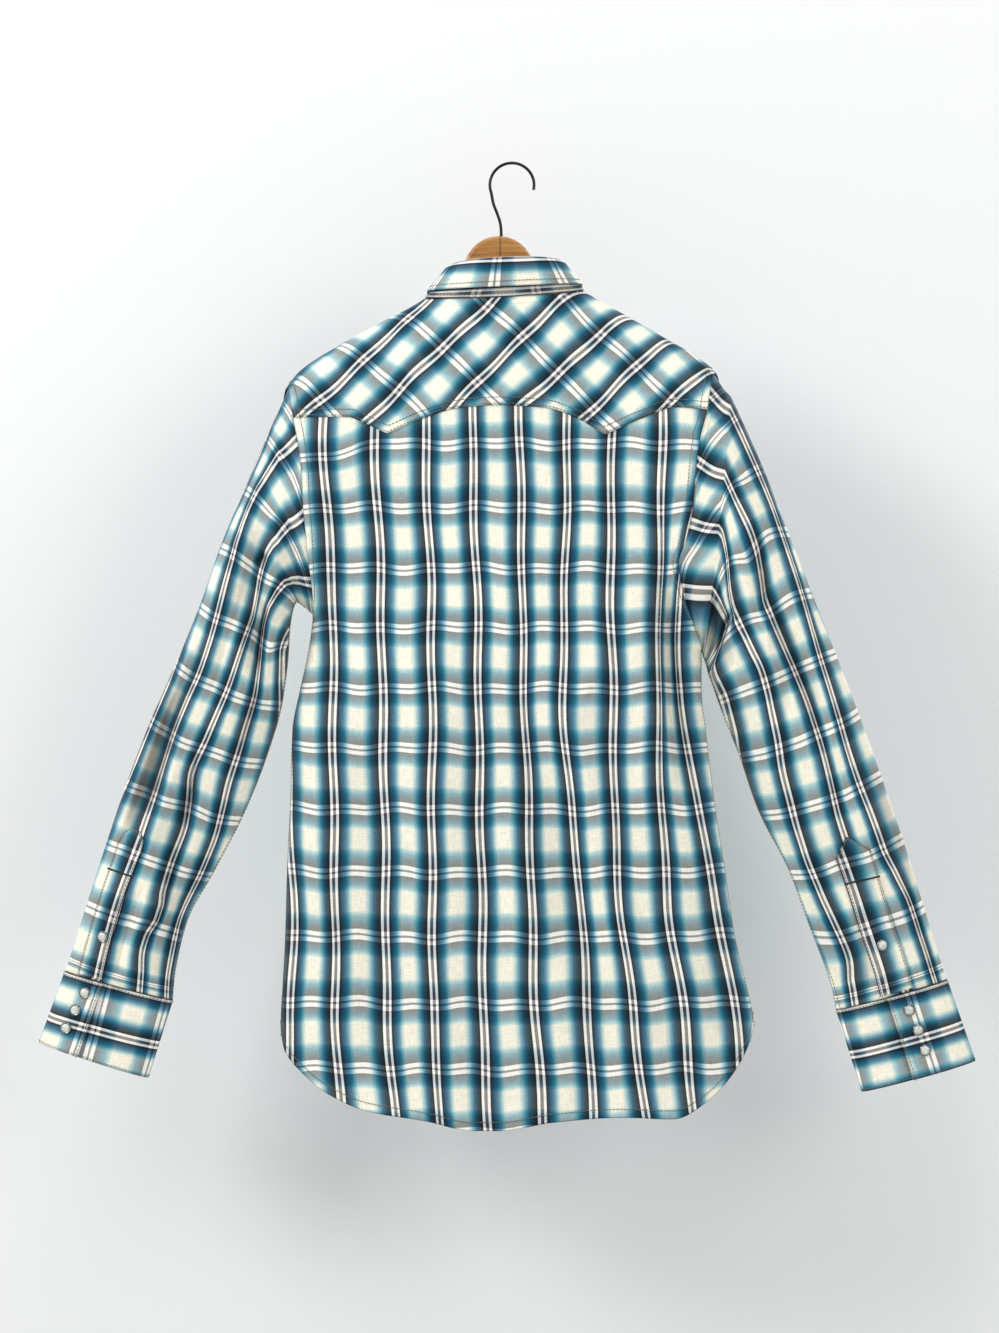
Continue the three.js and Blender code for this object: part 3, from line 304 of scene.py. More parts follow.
# Finer creases: part across and ring at both ends, then bend, depth, half width and power in millimetres
SLEEVE_CREASES = {
    "left": [
        (0.165, 5.0, 0.175, 9.2, 0, -10, 8.5, 2.4), (0.25, 6.6, 0.42, 8.9, 0, 5, 6, 1.6),
        (0.10, 1.0, 0.17, 5.2, -4, 3.2, 6, 1.6), (0.53, 2.9, 0.44, 3.5, 0, -7, 5, 1.5),
        (0.46, 3.0, 0.66, 4.6, 3, 4, 7, 1.8), (0.71, 4.0, 0.75, 5.8, 2, -6, 5, 1.4),
        (0.78, 5.3, 1.0, 4.4, 0, 4, 6, 1.6), (0.76, 5.8, 0.79, 7.3, 0, -6, 5, 1.4),
        (0.46, 7.2, 0.61, 8.5, -2, -5, 4, 1.4), (0.54, 7.4, 0.66, 8.5, -2, 3.5, 6, 1.6),
        (0.66, 9.0, 0.76, 9.9, 0, -3.6, 4, 1.4), (0.75, 9.8, 0.66, 10.5, 0, -4, 4, 1.4),
        (0.58, 9.1, 0.60, 11.5, 0, 3.2, 8, 1.8), (0.87, 8.4, 0.88, 11.6, 0, -5, 6, 1.6),
        (0.50, 9.6, 0.46, 11.6, 0, -3, 5, 1.5), (0.40, 3.9, 0.42, 6.6, 2, -3.4, 7, 1.6),
        (0.62, 1.2, 0.66, 2.8, 0, 3, 9, 2.0), (0.90, 1.0, 0.90, 2.4, 0, -4, 7, 1.6),
    ],
    "right": [
        (0.30, 3.4, 0.41, 4.6, 0, -5, 5, 1.4), (0.40, 4.4, 0.62, 6.4, -2, 5.5, 5, 1.6),
        (0.34, 4.6, 0.34, 7.0, 0, -6, 7, 1.8), (0.10, 4.8, 0.21, 7.4, 0, 4, 6, 1.6),
        (0.37, 6.6, 0.44, 8.6, 2, -5, 5, 1.4), (0.06, 7.8, 0.07, 10.0, 0, -6, 7, 1.8),
        (0.19, 7.6, 0.20, 9.2, 0, 3.4, 6, 1.6), (0.12, 9.6, 0.11, 11.8, 0, -4, 4, 1.4),
        (0.52, 1.8, 0.68, 3.3, 0, 6, 5, 1.6), (0.72, 3.3, 0.90, 3.6, 3, -8, 8, 1.6),
        (0.86, 1.0, 0.88, 3.2, 0, -10, 10, 2.4), (0.62, 6.3, 0.80, 8.0, 2, 4, 6, 1.6),
        (0.58, 5.8, 0.72, 7.9, 3, -4, 6, 1.5), (0.76, 8.4, 0.78, 10.2, 0, -4, 6, 1.6),
        (0.75, 10.1, 0.86, 11.1, 0, -4, 4, 1.4), (0.60, 9.9, 0.72, 11.6, 0, -4, 6, 1.5),
        (0.52, 2.2, 0.50, 4.4, 0, 3, 9, 2.0), (0.94, 4.0, 0.92, 6.8, 0, -3.5, 5, 1.5),
    ],
}
ACROSS_SLEEVE = 105.0  # the width of a sleeve and the way between two rings, as the creases count them
RING_APART = 56.0
CREASE_STRENGTH = 1.5


@dataclass(frozen=True)
class Waves:
    """Small uneven waves of hanging cloth, long along Z and short across it."""

    height: float
    across: tuple = (31.0, 47.0, 73.0)
    along: tuple = (310.0, 220.0, 520.0)
    shift: float = 0.0

    def at(self, x: np.ndarray, z: np.ndarray) -> np.ndarray:
        """Height of the waves at each place."""
        total = np.zeros_like(x + z)
        for order, (wide, tall) in enumerate(zip(self.across, self.along)):
            bent = x + 9 * np.sin(z / (60 + 23 * order) + order + self.shift)
            total += np.sin(2 * np.pi * (bent / wide + z / tall) + 2.1 * order + self.shift)
        return self.height * total / len(self.across)


@dataclass
class BodyForm:
    """The surface on which the panels, the yokes, the collar and the front band lie."""

    shoulder: Curve = field(default_factory=lambda: Curve(SHOULDER))
    left: Curve = field(default_factory=lambda: Curve(BODY_ROWS, column=1))
    right: Curve = field(default_factory=lambda: Curve(BODY_ROWS, column=2))
    depths: dict = field(
        default_factory=lambda: {
            Face.BACK: Curve(BODY_ROWS, column=3),
            Face.FRONT: Curve(BODY_ROWS, column=4),
        }
    )
    folds: dict = field(default_factory=lambda: {Face.BACK: BACK_FOLDS, Face.FRONT: FRONT_FOLDS})
    waves: dict = field(default_factory=lambda: {Face.BACK: Waves(0.9), Face.FRONT: Waves(1.1, shift=1.7)})

    def across(self, x: np.ndarray, z: np.ndarray) -> np.ndarray:
        """Place across the body, from -1 at its left side to 1 at its right."""
        left, right = self.left(z), self.right(z)
        return np.clip((2 * x - left - right) / (right - left), -1, 1)

    def lower_depth(self, x: np.ndarray, z: np.ndarray, face: Face) -> np.ndarray:
        """Depth of a face below the shoulders: a rounded section, held open at the armholes."""
        across = self.across(x, z)
        crown = (1 - abs(across) ** SIDE_ROUNDING) ** (1 / SIDE_ROUNDING)
        underarm = np.where(across < 0, UNDERARM["left"], UNDERARM["right"])
        part = np.clip((FULL_DEPTH_Z - z) / (FULL_DEPTH_Z - underarm), 0, 1)
        seam = ARMHOLE_DEPTH * np.sqrt(1 - part**2)
        opened = ARMHOLE_DEPTH * smooth(underarm - 50, FULL_DEPTH_Z, z) * smooth(0.35, 0.95, abs(across))
        near_seam = smooth(0.86, 1, abs(across))
        return self.depths[face](z) * crown + mix(opened, seam, near_seam) * (1 - crown)

    def turn_at(self, x: np.ndarray, z: np.ndarray) -> np.ndarray:
        """How far a place has turned down from the shoulder line, in radians."""
        return np.arccos(np.clip((z - FULL_DEPTH_Z) / (self.shoulder(x) - FULL_DEPTH_Z), 0, 1))

    def over_shoulder(self, x: np.ndarray, turn: np.ndarray, lift: np.ndarray = 0.0) -> np.ndarray:
        """Points at a turn from the shoulder line: behind it above 0, and in front of it below."""
        rise = self.shoulder(x) - FULL_DEPTH_Z
        level = np.full_like(x, FULL_DEPTH_Z)
        depth = np.where(
            turn >= 0, self.lower_depth(x, level, Face.BACK), self.lower_depth(x, level, Face.FRONT)
        )
        y = -(depth + lift) * np.sin(turn)
        return np.stack([x, y, FULL_DEPTH_Z + (rise + lift) * np.cos(turn)], -1)

    def relief(self, x: np.ndarray, z: np.ndarray, face: Face) -> np.ndarray:
        """Height of the folds and waves of a face, none at its sides."""
        level = np.minimum(z, FULL_DEPTH_Z)
        calm = 1 - self.across(x, level) ** 6
        waves = self.waves[face].at(x, z) * smooth(-235, -420, z)
        return (height_of(self.folds[face], x, z) + waves) * calm

    def place(self, x: np.ndarray, z: np.ndarray, face: Face, out: np.ndarray = 0.0) -> np.ndarray:
        """Points on a face, moved out by a height."""
        level = np.minimum(z, FULL_DEPTH_Z)
        rise = np.where(z > FULL_DEPTH_Z, np.sin(self.turn_at(x, z)), 1.0)
        depth = self.lower_depth(x, level, face) * rise + self.relief(x, z, face) + out
        return np.stack([x, (-1 if face is Face.BACK else 1) * depth, z], -1)

    def neck(self, angle: np.ndarray) -> tuple:
        """Neck seam: an angle of 0 is the right side, and a quarter turn is the back.

        Args:
            angle: The angle round the neck, in radians.

        Returns:
            The place's x and its turn from the shoulder line.
        """
        x = NECK_X + NECK_HALF * np.cos(angle)
        side_z = mix(-126, -119, (np.cos(angle) + 1) / 2)
        drop = np.where(np.sin(angle) >= 0, 4.5, 64.0)
        z = np.minimum(side_z - drop * abs(np.sin(angle)), self.shoulder(x))
        return x, np.where(np.sin(angle) >= 0, 1, -1) * self.turn_at(x, z)

    def neck_corner(self, side: Side) -> float:
        """Angle round the neck at which the shoulder seam meets it."""
        past = np.linspace(0, 0.6, 600)
        angle = math.pi + past if side is Side.LEFT else -past
        _, turn = self.neck(angle)
        return float(angle[int(np.argmin(abs(turn + SHOULDER_TURN)))])


def front_middle(z: np.ndarray) -> np.ndarray:
    """X of the middle of the front band at a height."""
    return mix(NECK_X, 5.5, np.clip((-190 - z) / 690, 0, 1))


def lengths(points: np.ndarray, axis: int) -> np.ndarray:
    """Length of the way along a grid's rows or columns from the start to each point."""
    step = np.linalg.norm(np.diff(points, axis=axis), axis=2)
    start = np.zeros_like(np.take(step, [0], axis=axis))
    return np.cumsum(np.concatenate([start, step], axis=axis), axis=axis)


@dataclass
class ClothPiece:
    """One sewn piece: a thin shell behind a grid of points that is its outer face.

    The pattern gives, for each point, how many repeats of warp and weft lie before it. The cut is the
    piece's width, length and area before sewing, in metres, and is not used.
    """

    name: str
    points: np.ndarray
    pattern: np.ndarray
    towards: np.ndarray
    cut: tuple
    sewn: tuple = ()
    thickness: float = CLOTH
    # painted shade of each point in the fold valleys, from 0 to 1
    painted_fold_shade: np.ndarray | None = None

    def __post_init__(self) -> None:
        """Works out the direction that the cloth faces at each point."""
        down, along = np.gradient(self.points, axis=0), np.gradient(self.points, axis=1)
        normals = np.cross(down, along)
        normals /= np.linalg.norm(normals, axis=2, keepdims=True) + 1e-9
        self.normals = normals * np.sign(np.sum(normals * self.towards))

    def seam_distance(self) -> np.ndarray:
        """Distance of each point from the nearest sewn edge, at most 60 mm."""
        nearest = np.full(self.points.shape[:2], 60.0)
        for edge in self.sewn:
            nearest = np.minimum(nearest, edge.back(lengths(edge.first(self.points), 0)))
        return nearest

    def line(self, edge: Edge, inset: float, lift: float = 0.25, part: tuple = (0.0, 1.0)) -> np.ndarray:
        """A line on the outer face at a distance from an edge.

        Args:
            edge: The edge that the line follows.
            inset: The distance from it.
            lift: The line's height over the face.
            part: Where the line starts and ends along the edge, from 0 to 1.

        Returns:
            The line's points, one below the other.
        """
        points = edge.first(self.points)
        raised = points + lift * edge.first(self.normals)
        way = lengths(points, 0)
        last = points.shape[1] - 1
        made = []
        for j in range(round(part[0] * last), round(part[1] * last) + 1):
            i = min(max(int(np.searchsorted(way[:, j], inset)) - 1, 0), len(way) - 2)
            s = (inset - way[i, j]) / (way[i + 1, j] - way[i, j])
            made.append(mix(raised[i, j], raised[i + 1, j], s))
        return np.array(made)

    def nearest(self, place: np.ndarray) -> tuple:
        """The point of the outer face nearest to a place, and the direction it faces."""
        i, j = np.unravel_index(
            int(np.argmin(np.linalg.norm(self.points - place, axis=2))), self.points.shape[:2]
        )
        return self.points[i, j], self.normals[i, j]

    def build(self, material: bpy.types.Material) -> bpy.types.Object:
        """Args:
            material: The cloth's material.

        Returns:
            The piece, which replaces the solid of its name.
        """
        rows, columns = self.points.shape[:2]
        inner = self.points - self.normals * self.thickness
        under = rows * columns
        at = np.arange(under).reshape(rows, columns)
        a, b, c, d = at[:-1, :-1], at[:-1, 1:], at[1:, 1:], at[1:, :-1]
        outer_faces = np.stack([a, b, c, d], -1).reshape(-1, 4)
        rim = np.concatenate([at[0, :-1], at[:-1, -1], at[-1, :0:-1], at[:0:-1, 0]])
        after = np.roll(rim, -1)
        rims = np.stack([after, rim, rim + under, after + under], -1)
        faces = np.concatenate([outer_faces, outer_faces[:, ::-1] + under, rims])
        vertices = np.concatenate([self.points.reshape(-1, 3), inner.reshape(-1, 3)]) * MM
        mesh = bpy.data.meshes.new(self.name)
        mesh.from_pydata(vertices.tolist(), [], faces.tolist())
        flat = self.pattern.reshape(-1, 2)
        corners = np.empty(len(mesh.loops), np.int32)
        mesh.loops.foreach_get("vertex_index", corners)
        mesh.uv_layers.new(name="pattern").data.foreach_set("uv", flat[corners % under].ravel())
        distance = mesh.attributes.new("seam_mm", "FLOAT", "POINT")
        distance.data.foreach_set("value", np.tile(self.seam_distance().ravel(), 2))
        # painted shade of the fold valleys, which the cloth's material reads
        if self.painted_fold_shade is not None:
            shade = mesh.attributes.new("painted_fold_shade", "FLOAT", "POINT")
            shade.data.foreach_set("value", np.tile(self.painted_fold_shade.ravel(), 2))
        piece = finish_mesh(mesh, f"{self.name}_cloth", material, sharp=55)
        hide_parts(self.name)
        return piece


def finish_mesh(
    mesh: bpy.types.Mesh, name: str, material: bpy.types.Material, sharp: float = 40
) -> bpy.types.Object:
    """Turns a mesh's faces outward, shades it smooth and makes it a piece of the body.

    Args:
        mesh: The mesh, in metres.
        name: The piece's name.
        material: Its material.
        sharp: The angle over which an edge stays sharp, in degrees.

    Returns:
        The piece.
    """
    work = bmesh.new()
    work.from_mesh(mesh)
    bmesh.ops.recalc_face_normals(work, faces=work.faces)
    work.to_mesh(mesh)
    work.free()
    mesh.shade_smooth()
    mesh.set_sharp_from_angle(angle=math.radians(sharp))
    mesh.materials.clear()
    mesh.materials.append(material)
    piece = bpy.data.objects.new(name, mesh)
    bpy.context.scene.collection.objects.link(piece)
    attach(piece, BODY)
    LOG.info("%s: %d faces", name, len(mesh.polygons))
    return piece


# Places of the white warp pairs down the back, as the photograph shows them: a height, and their x there
BACK_WARP = [
    (-80, -219.5, -173, -126.5, -80, -35.8, 7, 50.2, 91.6, 138.6, 183.2, 227.9),
    (-247, -219.5, -173, -126.5, -80, -35.8, 7, 50.2, 91.6, 138.6, 183.2, 227.9),
    (-405, -210, -165.5, -120, -73.5, -32.5, 9.3, 48.4, 90.2, 135.8, 151.6, 196.2),
    (-498, -209, -164.6, -118.1, -73.5, -30.7, 12.1, 45.6, 92.1, 135.8, 154.4, 200),
    (-591, -207.4, -163.7, -117.2, -73.5, -28.8, 14.9, 53, 93.9, 137.6, 171.1, 215.8),
    (-684, -200.9, -163.7, -115.3, -72.5, -27.9, 17.7, 64.2, 97.7, 142.3, 186.9, 231.6),
    (-777, -204.6, -162.8, -114.4, -72.5, -27, 21.4, 68.8, 109.7, 157.2, 205.5, 250.2),
    (-870, -208.3, -157.2, -107.9, -67, -22.3, 27, 73.5, 121.8, 165.5, 212, 256.7),
]
BACK_WEFT_Z = [-262.7, -321.3, -377.1, -431, -486.9, -541.7, -597.5, -655.2, -714.7, -776.1, -836.5]

# Where the white warp pairs lie down the back of a sleeve: a ring, and their parts of the way across it
SLEEVE_WARP = {
    "left": [
        (1, -0.02, 0.20, 0.57, 0.86, 1.12), (2, 0.012, 0.175, 0.585, 0.865, 1.13),
        (2.5, 0.01, 0.15, 0.555, 0.83, 1.12), (3, 0.005, 0.14, 0.53, 0.79, 1.08),
        (3.6, -0.02, 0.16, 0.55, 0.745, 1.02), (4, -0.04, 0.19, 0.575, 0.715, 0.99),
        (4.5, -0.06, 0.21, 0.588, 0.705, 0.96), (5, -0.05, 0.23, 0.57, 0.72, 0.94),
        (5.5, -0.03, 0.243, 0.55, 0.745, 0.96), (6, -0.005, 0.245, 0.535, 0.768, 1.0),
        (6.5, 0.015, 0.235, 0.52, 0.772, 1.03), (7, 0.018, 0.235, 0.51, 0.786, 1.05),
        (7.5, 0.015, 0.247, 0.487, 0.802, 1.06), (8, 0.0, 0.265, 0.555, 0.842, 1.08),
        (8.5, -0.03, 0.28, 0.62, 0.887, 1.12), (9, -0.06, 0.30, 0.635, 0.91, 1.14),
        (9.5, -0.10, 0.315, 0.68, 0.925, 1.16), (9.8, -0.12, 0.325, 0.73, 0.932, 1.17),
        (10, -0.14, 0.33, 0.733, 0.935, 1.18), (10.3, -0.145, 0.33, 0.682, 0.942, 1.18),
        (10.5, -0.15, 0.325, 0.675, 0.945, 1.18), (11, -0.15, 0.32, 0.705, 0.945, 1.18),
        (12, -0.16, 0.30, 0.715, 0.95, 1.18),
    ],
    "right": [
        (1, -0.20, 0.065, 0.32, 0.525, 0.765), (1.5, -0.20, 0.064, 0.32, 0.515, 0.755),
        (2, -0.19, 0.063, 0.32, 0.54, 0.745), (2.5, -0.17, 0.063, 0.315, 0.60, 0.735),
        (3, -0.14, 0.062, 0.308, 0.655, 0.73), (3.5, -0.10, 0.058, 0.315, 0.667, 0.72),
        (3.9, -0.06, 0.06, 0.345, 0.657, 0.96), (4.5, -0.03, 0.07, 0.40, 0.64, 0.972),
        (5, -0.02, 0.09, 0.393, 0.63, 0.965), (5.5, -0.03, 0.12, 0.383, 0.617, 0.957),
        (6, -0.07, 0.15, 0.372, 0.632, 0.967), (6.5, -0.10, 0.17, 0.367, 0.665, 0.985),
        (7, -0.12, 0.19, 0.377, 0.70, 1.02), (7.5, -0.13, 0.207, 0.392, 0.743, 1.035),
        (8, -0.14, 0.215, 0.42, 0.765, 1.05), (8.5, -0.14, 0.21, 0.462, 0.81, 1.07),
        (9, -0.14, 0.212, 0.48, 0.845, 1.09), (9.5, -0.12, 0.165, 0.46, 0.835, 1.09),
        (10, -0.08, 0.12, 0.42, 0.81, 1.08), (10.5, -0.07, 0.115, 0.41, 0.788, 1.08),
        (11, -0.07, 0.11, 0.40, 0.84, 1.10), (12, -0.07, 0.11, 0.38, 0.85, 1.10),
    ],
}
# Where the weft pairs cross a sleeve: a part of the way across it, and their rings there
SLEEVE_WEFT = {
    "left": [
        (0.0, 1.5, 2.87, 4.08, 5.02, 6.07, 7.0, 8.08, 9.05, 10.08, 11.35),
        (0.2, 0.95, 2.5, 3.88, 5.05, 6.15, 7.1, 8.1, 9.05, 10.1, 11.4),
        (0.4, 0.4, 2.07, 3.68, 5.0, 6.15, 7.17, 8.12, 9.07, 10.12, 11.45),
        (0.6, -0.1, 1.25, 3.4, 4.97, 6.18, 7.17, 8.1, 9.1, 10.12, 11.45),
        (0.8, -0.6, 0.6, 2.8, 5.1, 6.15, 7.2, 8.15, 9.12, 10.15, 11.45),
        (1.0, -1.0, 0.2, 2.1, 4.6, 6.05, 7.15, 8.1, 9.1, 10.2, 11.45),
    ],
    "right": [
        (0.0, 1.7, 2.95, 4.08, 5.12, 6.08, 7.05, 8.05, 9.0, 10.08, 11.35),
        (0.2, 0.6, 2.3, 3.6, 4.87, 6.0, 7.1, 8.1, 9.05, 10.15, 11.4),
        (0.4, 0.0, 1.15, 3.3, 4.7, 5.93, 7.12, 8.15, 9.1, 10.18, 11.42),
        (0.6, -0.5, 0.5, 2.2, 4.2, 5.85, 7.15, 8.15, 9.1, 10.22, 11.45),
        (0.8, -0.9, 0.0, 1.5, 3.7, 5.7, 7.15, 8.15, 9.15, 10.25, 11.48),
        (1.0, -1.2, -0.3, 1.1, 3.3, 5.5, 7.1, 8.1, 9.1, 10.2, 11.5),
    ],
}
BAR_ROW = 9  # the row of a sleeve band's points along which its stitched bar runs
BAND_REPEATS = 0.62  # a sleeve band's width
BAND_PAIR = 0.16  # where its white pair lies, as a part of that width
COLLAR_PAIR_X = {"leaf": -14.0, "stand": -35.0}


def repeats_between(place: np.ndarray, lines: list, repeat: float) -> np.ndarray:
    """Repeats of the pattern before a place, from the lines between which it lies.

    Args:
        place: The places.
        lines: Each line's position at those places, from the first line on.
        repeat: The repeat's length beyond the first and the last line, negative if the lines fall.

    Returns:
        The number of repeats, with each line in the middle of a white pair.
    """
    count = np.full(np.shape(place), PAIR_MIDDLE)
    for before, after in zip(lines[:-1], lines[1:]):
        count += np.clip((place - before) / (after - before), 0, 1)
    sign = 1 if repeat > 0 else -1
    count += np.minimum(sign * (place - lines[0]), 0) / abs(repeat)
    return count + np.maximum(sign * (place - lines[-1]), 0) / abs(repeat)


def wandering(x: np.ndarray, z: np.ndarray) -> tuple:
    """The cloth's own small waves in its plane, as shifts of a place along X and Z."""
    along_x = 0.9 * np.sin(z / 21 + x / 37) + 0.6 * np.sin(z / 47 - x / 23)
    along_z = 1.1 * np.sin(x / 7.7 + z / 90) + 1.2 * np.sin(x / 17 - z / 61 + 1)
    return x + along_x, z + along_z


def back_pattern(points: np.ndarray) -> np.ndarray:
    """Pattern of the back, as charted from the photograph."""
    x, z = wandering(points[..., 0], points[..., 2])
    warps = [Curve(BACK_WARP, column=column)(z) for column in range(1, len(BACK_WARP[0]))]
    dip = -16 * smooth(-110, -190, x) * smooth(-330, -250, z)
    wefts = [np.full_like(z, height) for height in BACK_WEFT_Z]
    weft = repeats_between(z - dip, wefts, -WEFT_REPEAT)
    return np.stack([repeats_between(x, warps, WARP_REPEAT), weft], -1)


def bias_pattern(points: np.ndarray, sign: int = 1) -> np.ndarray:
    """Pattern of a yoke, which is cut on the bias; a sign of -1 mirrors it."""
    x, z = wandering(points[..., 0] * sign, points[0, :, 2] + lengths(points, 0))
    warp = ((x - z) / math.sqrt(2) - 31) / 46 + PAIR_MIDDLE
    weft = ((x + z) / math.sqrt(2) + 224) / 57 + PAIR_MIDDLE
    return np.stack([warp, weft], -1)


def front_pattern(points: np.ndarray) -> np.ndarray:
    """Pattern of a front: the warp runs down it, measured from its front edge, which is the last column."""
    flat = points * np.array([1.0, 1.0, 0.15])
    way = lengths(flat, 1)
    warp = 20.3 + (way[:, -1:] - way) / WARP_REPEAT
    wefts = [np.full_like(points[..., 2], height) for height in BACK_WEFT_Z]
    return np.stack([warp, repeats_between(points[..., 2], wefts, -WEFT_REPEAT)], -1)


@dataclass
class Torso:
    """Back, yokes, fronts and front band."""

    form: BodyForm
    columns: int = 168
    armhole_rows: int = 46
    side_rows: int = 84
    yoke_rows: int = 44
    front_columns: int = 84

    def row_parts(self) -> tuple:
        """Rows of a panel: how far down each is, and its height at each side seam."""
        armhole = np.linspace(0, 1, self.armhole_rows + 1)
        side = np.linspace(0, 1, self.side_rows + 1)[1:]
        down = np.concatenate([armhole * 6 / 16, mix(6 / 16, 1, side)])
        heights = {}
        for name, top in self.high_edge().items():
            upper = mix(top, UNDERARM[name], np.sin(armhole * np.pi / 2) ** 0.85)
            heights[name] = np.concatenate([upper, mix(UNDERARM[name], SIDE_SEAM_END[name], side)])
        return down[:, None], heights

    def high_edge(self) -> dict:
        """Height of the yoke's lower edge at each armhole."""
        edge = Curve(YOKE_EDGE, YOKE_POINTS)
        return {
            "left": float(edge(self.form.left(YOKE_TOP_Z["left"]))),
            "right": float(edge(self.form.right(YOKE_TOP_Z["right"]))),
        }

    def across(self) -> np.ndarray:
        """Columns across the back, closer at the sides, with one on each point of the yoke."""
        part = np.linspace(0, 1, self.columns + 1)
        across = 0.35 * (2 * part - 1) + 0.65 * np.sin((part - 0.5) * np.pi)
        left, right = float(self.form.left(YOKE_LEVEL)), float(self.form.right(YOKE_LEVEL))
        for corner in YOKE_POINTS:
            wanted = (2 * corner - left - right) / (right - left)
            across[int(np.argmin(abs(across - wanted)))] = wanted
        return across

    def back(self) -> ClothPiece:
        """The back below the yoke, which starts a little under the yoke's edge."""
        down, heights = self.row_parts()
        part = (self.across() + 1) / 2
        high = self.high_edge()
        left_z, right_z = heights["left"][:, None], heights["right"][:, None]
        top_x = mix(self.form.left(high["left"]), self.form.right(high["right"]), part)
        hem_x = mix(HEM[0][0], HEM[-1][0], part)
        x = mix(self.form.left(left_z), self.form.right(right_z), part)
        top = Curve(YOKE_EDGE, YOKE_POINTS)(top_x) - mix(left_z[0], right_z[0], part)
        hem = Curve(HEM)(hem_x) - mix(left_z[-1], right_z[-1], part)
        z = mix(left_z, right_z, part) + top * (1 - down) ** 4 + hem * down**3
        tucked = self.form.place(x[:1], z[:1] + 9, Face.BACK, -0.2)
        points = np.concatenate([tucked, self.form.place(x, z, Face.BACK)])
        relief = self.form.relief(points[..., 0], points[..., 2], Face.BACK)
        # painted shade: how far the colour darkens in the deeper fold valleys
        painted_fold_shade = np.clip((-relief - 2) / 16, 0, 1)
        towards, cut = np.array([0, -1, 0.2]), (0.47, 0.68, 0.29)
        return ClothPiece("back", points, back_pattern(points), towards, cut, tuple(Edge), painted_fold_shade=painted_fold_shade)

    def back_yoke(self) -> ClothPiece:
        """The back yoke, from its pointed lower edge to the neck seam and over the shoulders."""
        form = self.form
        part = (self.across() + 1) / 2
        high = self.high_edge()
        lower_x = mix(form.left(high["left"]), form.right(high["right"]), part)
        lower_turn = form.turn_at(lower_x, Curve(YOKE_EDGE, YOKE_POINTS)(lower_x))
        q = np.linspace(0, 28, self.columns + 1)
        corner = {side: form.neck_corner(side) for side in Side}
        angle = np.interp(q, [7, 8, 20, 21], [corner[Side.LEFT], math.pi, 0, corner[Side.RIGHT]])
        neck_x, neck_turn = form.neck(angle)
        left_x = mix(SHOULDER_END["left"], form.neck(corner[Side.LEFT])[0], q / 7)
        right_x = mix(form.neck(corner[Side.RIGHT])[0], SHOULDER_END["right"], (q - 21) / 7)
        upper_x = np.where(q <= 7, left_x, np.where(q >= 21, right_x, neck_x))
        upper_turn = np.where((q <= 7) | (q >= 21), -SHOULDER_TURN, neck_turn)
        up = np.linspace(0, 1, self.yoke_rows + 1)[:, None]
        crest = mix(1, 5 / 7, smooth(0, -SHOULDER_TURN, upper_turn))
        past = upper_turn * (up - crest) / np.maximum(1 - crest, 1e-6)
        over = np.where(up < crest, lower_turn * (1 - up / crest), past)
        turn = np.where(upper_turn >= 0, mix(lower_turn, upper_turn, up), over)
        x = mix(lower_x, upper_x, up)
        bare = form.over_shoulder(x, turn)
        folds = np.where(turn > 0, form.relief(x, bare[..., 2], Face.BACK), 0)
        points = form.over_shoulder(x, turn, YOKE_PROUD + folds)
        towards, cut = np.array([0, -1, 0.2]), (0.46, 0.16, 0.060)
        return ClothPiece("back_yoke", points, bias_pattern(points), towards, cut, tuple(Edge))

    def front_shape(self, side: Side) -> tuple:
        """Columns of a front: where each is across it, and the height of its yoke seam there."""
        part = np.linspace(0, 1, self.front_columns + 1)
        spread = mix(1 - np.cos(part * np.pi / 2), part, 0.5)
        edge = Curve(FRONT_YOKE_EDGE, (0.47,))(spread)
        return part, spread, mix(self.high_edge()[side.value], edge, np.minimum(1, part * 8))

    def front_edge(self, z: np.ndarray, side: Side) -> np.ndarray:
        """X of a front's edge in the middle of the body, under the band."""
        return front_middle(z) - side.outward * PLACKET_HALF

    def underlap(self, x: np.ndarray, z: np.ndarray, side: Side) -> np.ndarray:
        """How far the right front is moved in to pass under the left one."""
        if side is Side.LEFT:
            return np.zeros_like(x)
        return -UNDERLAP * smooth(front_middle(z) + 60, front_middle(z) + 25, x)

    def front(self, side: Side) -> ClothPiece:
        """A front below its yoke, with the edge in the middle as its last column."""
        down, heights = self.row_parts()
        _, spread, seam_z = self.front_shape(side)
        part = np.linspace(0, 1, self.front_columns + 1)
        seam = self.form.left if side is Side.LEFT else self.form.right
        side_z = heights[side.value][:, None]
        hem = mix(SIDE_SEAM_END[side.value], -868, np.sin(part * np.pi / 2) ** 0.6) - side_z[-1]
        z = side_z + (seam_z - side_z[0]) * (1 - down) ** 4 + hem * down**3
        x = mix(seam(side_z), self.front_edge(z, side), spread)
        tucked = self.form.place(x[:1], z[:1] + 8, Face.FRONT, self.underlap(x, z, side)[:1] - 0.2)
        points = np.concatenate([tucked, self.form.place(x, z, Face.FRONT, self.underlap(x, z, side))])
        sewn = (Edge.TOP, Edge.START, Edge.BOTTOM)
        towards, cut = np.array([0, 1, 0.2]), (0.27, 0.65, 0.155)
        return ClothPiece(f"front_{side.value}", points, front_pattern(points), towards, cut, sewn)

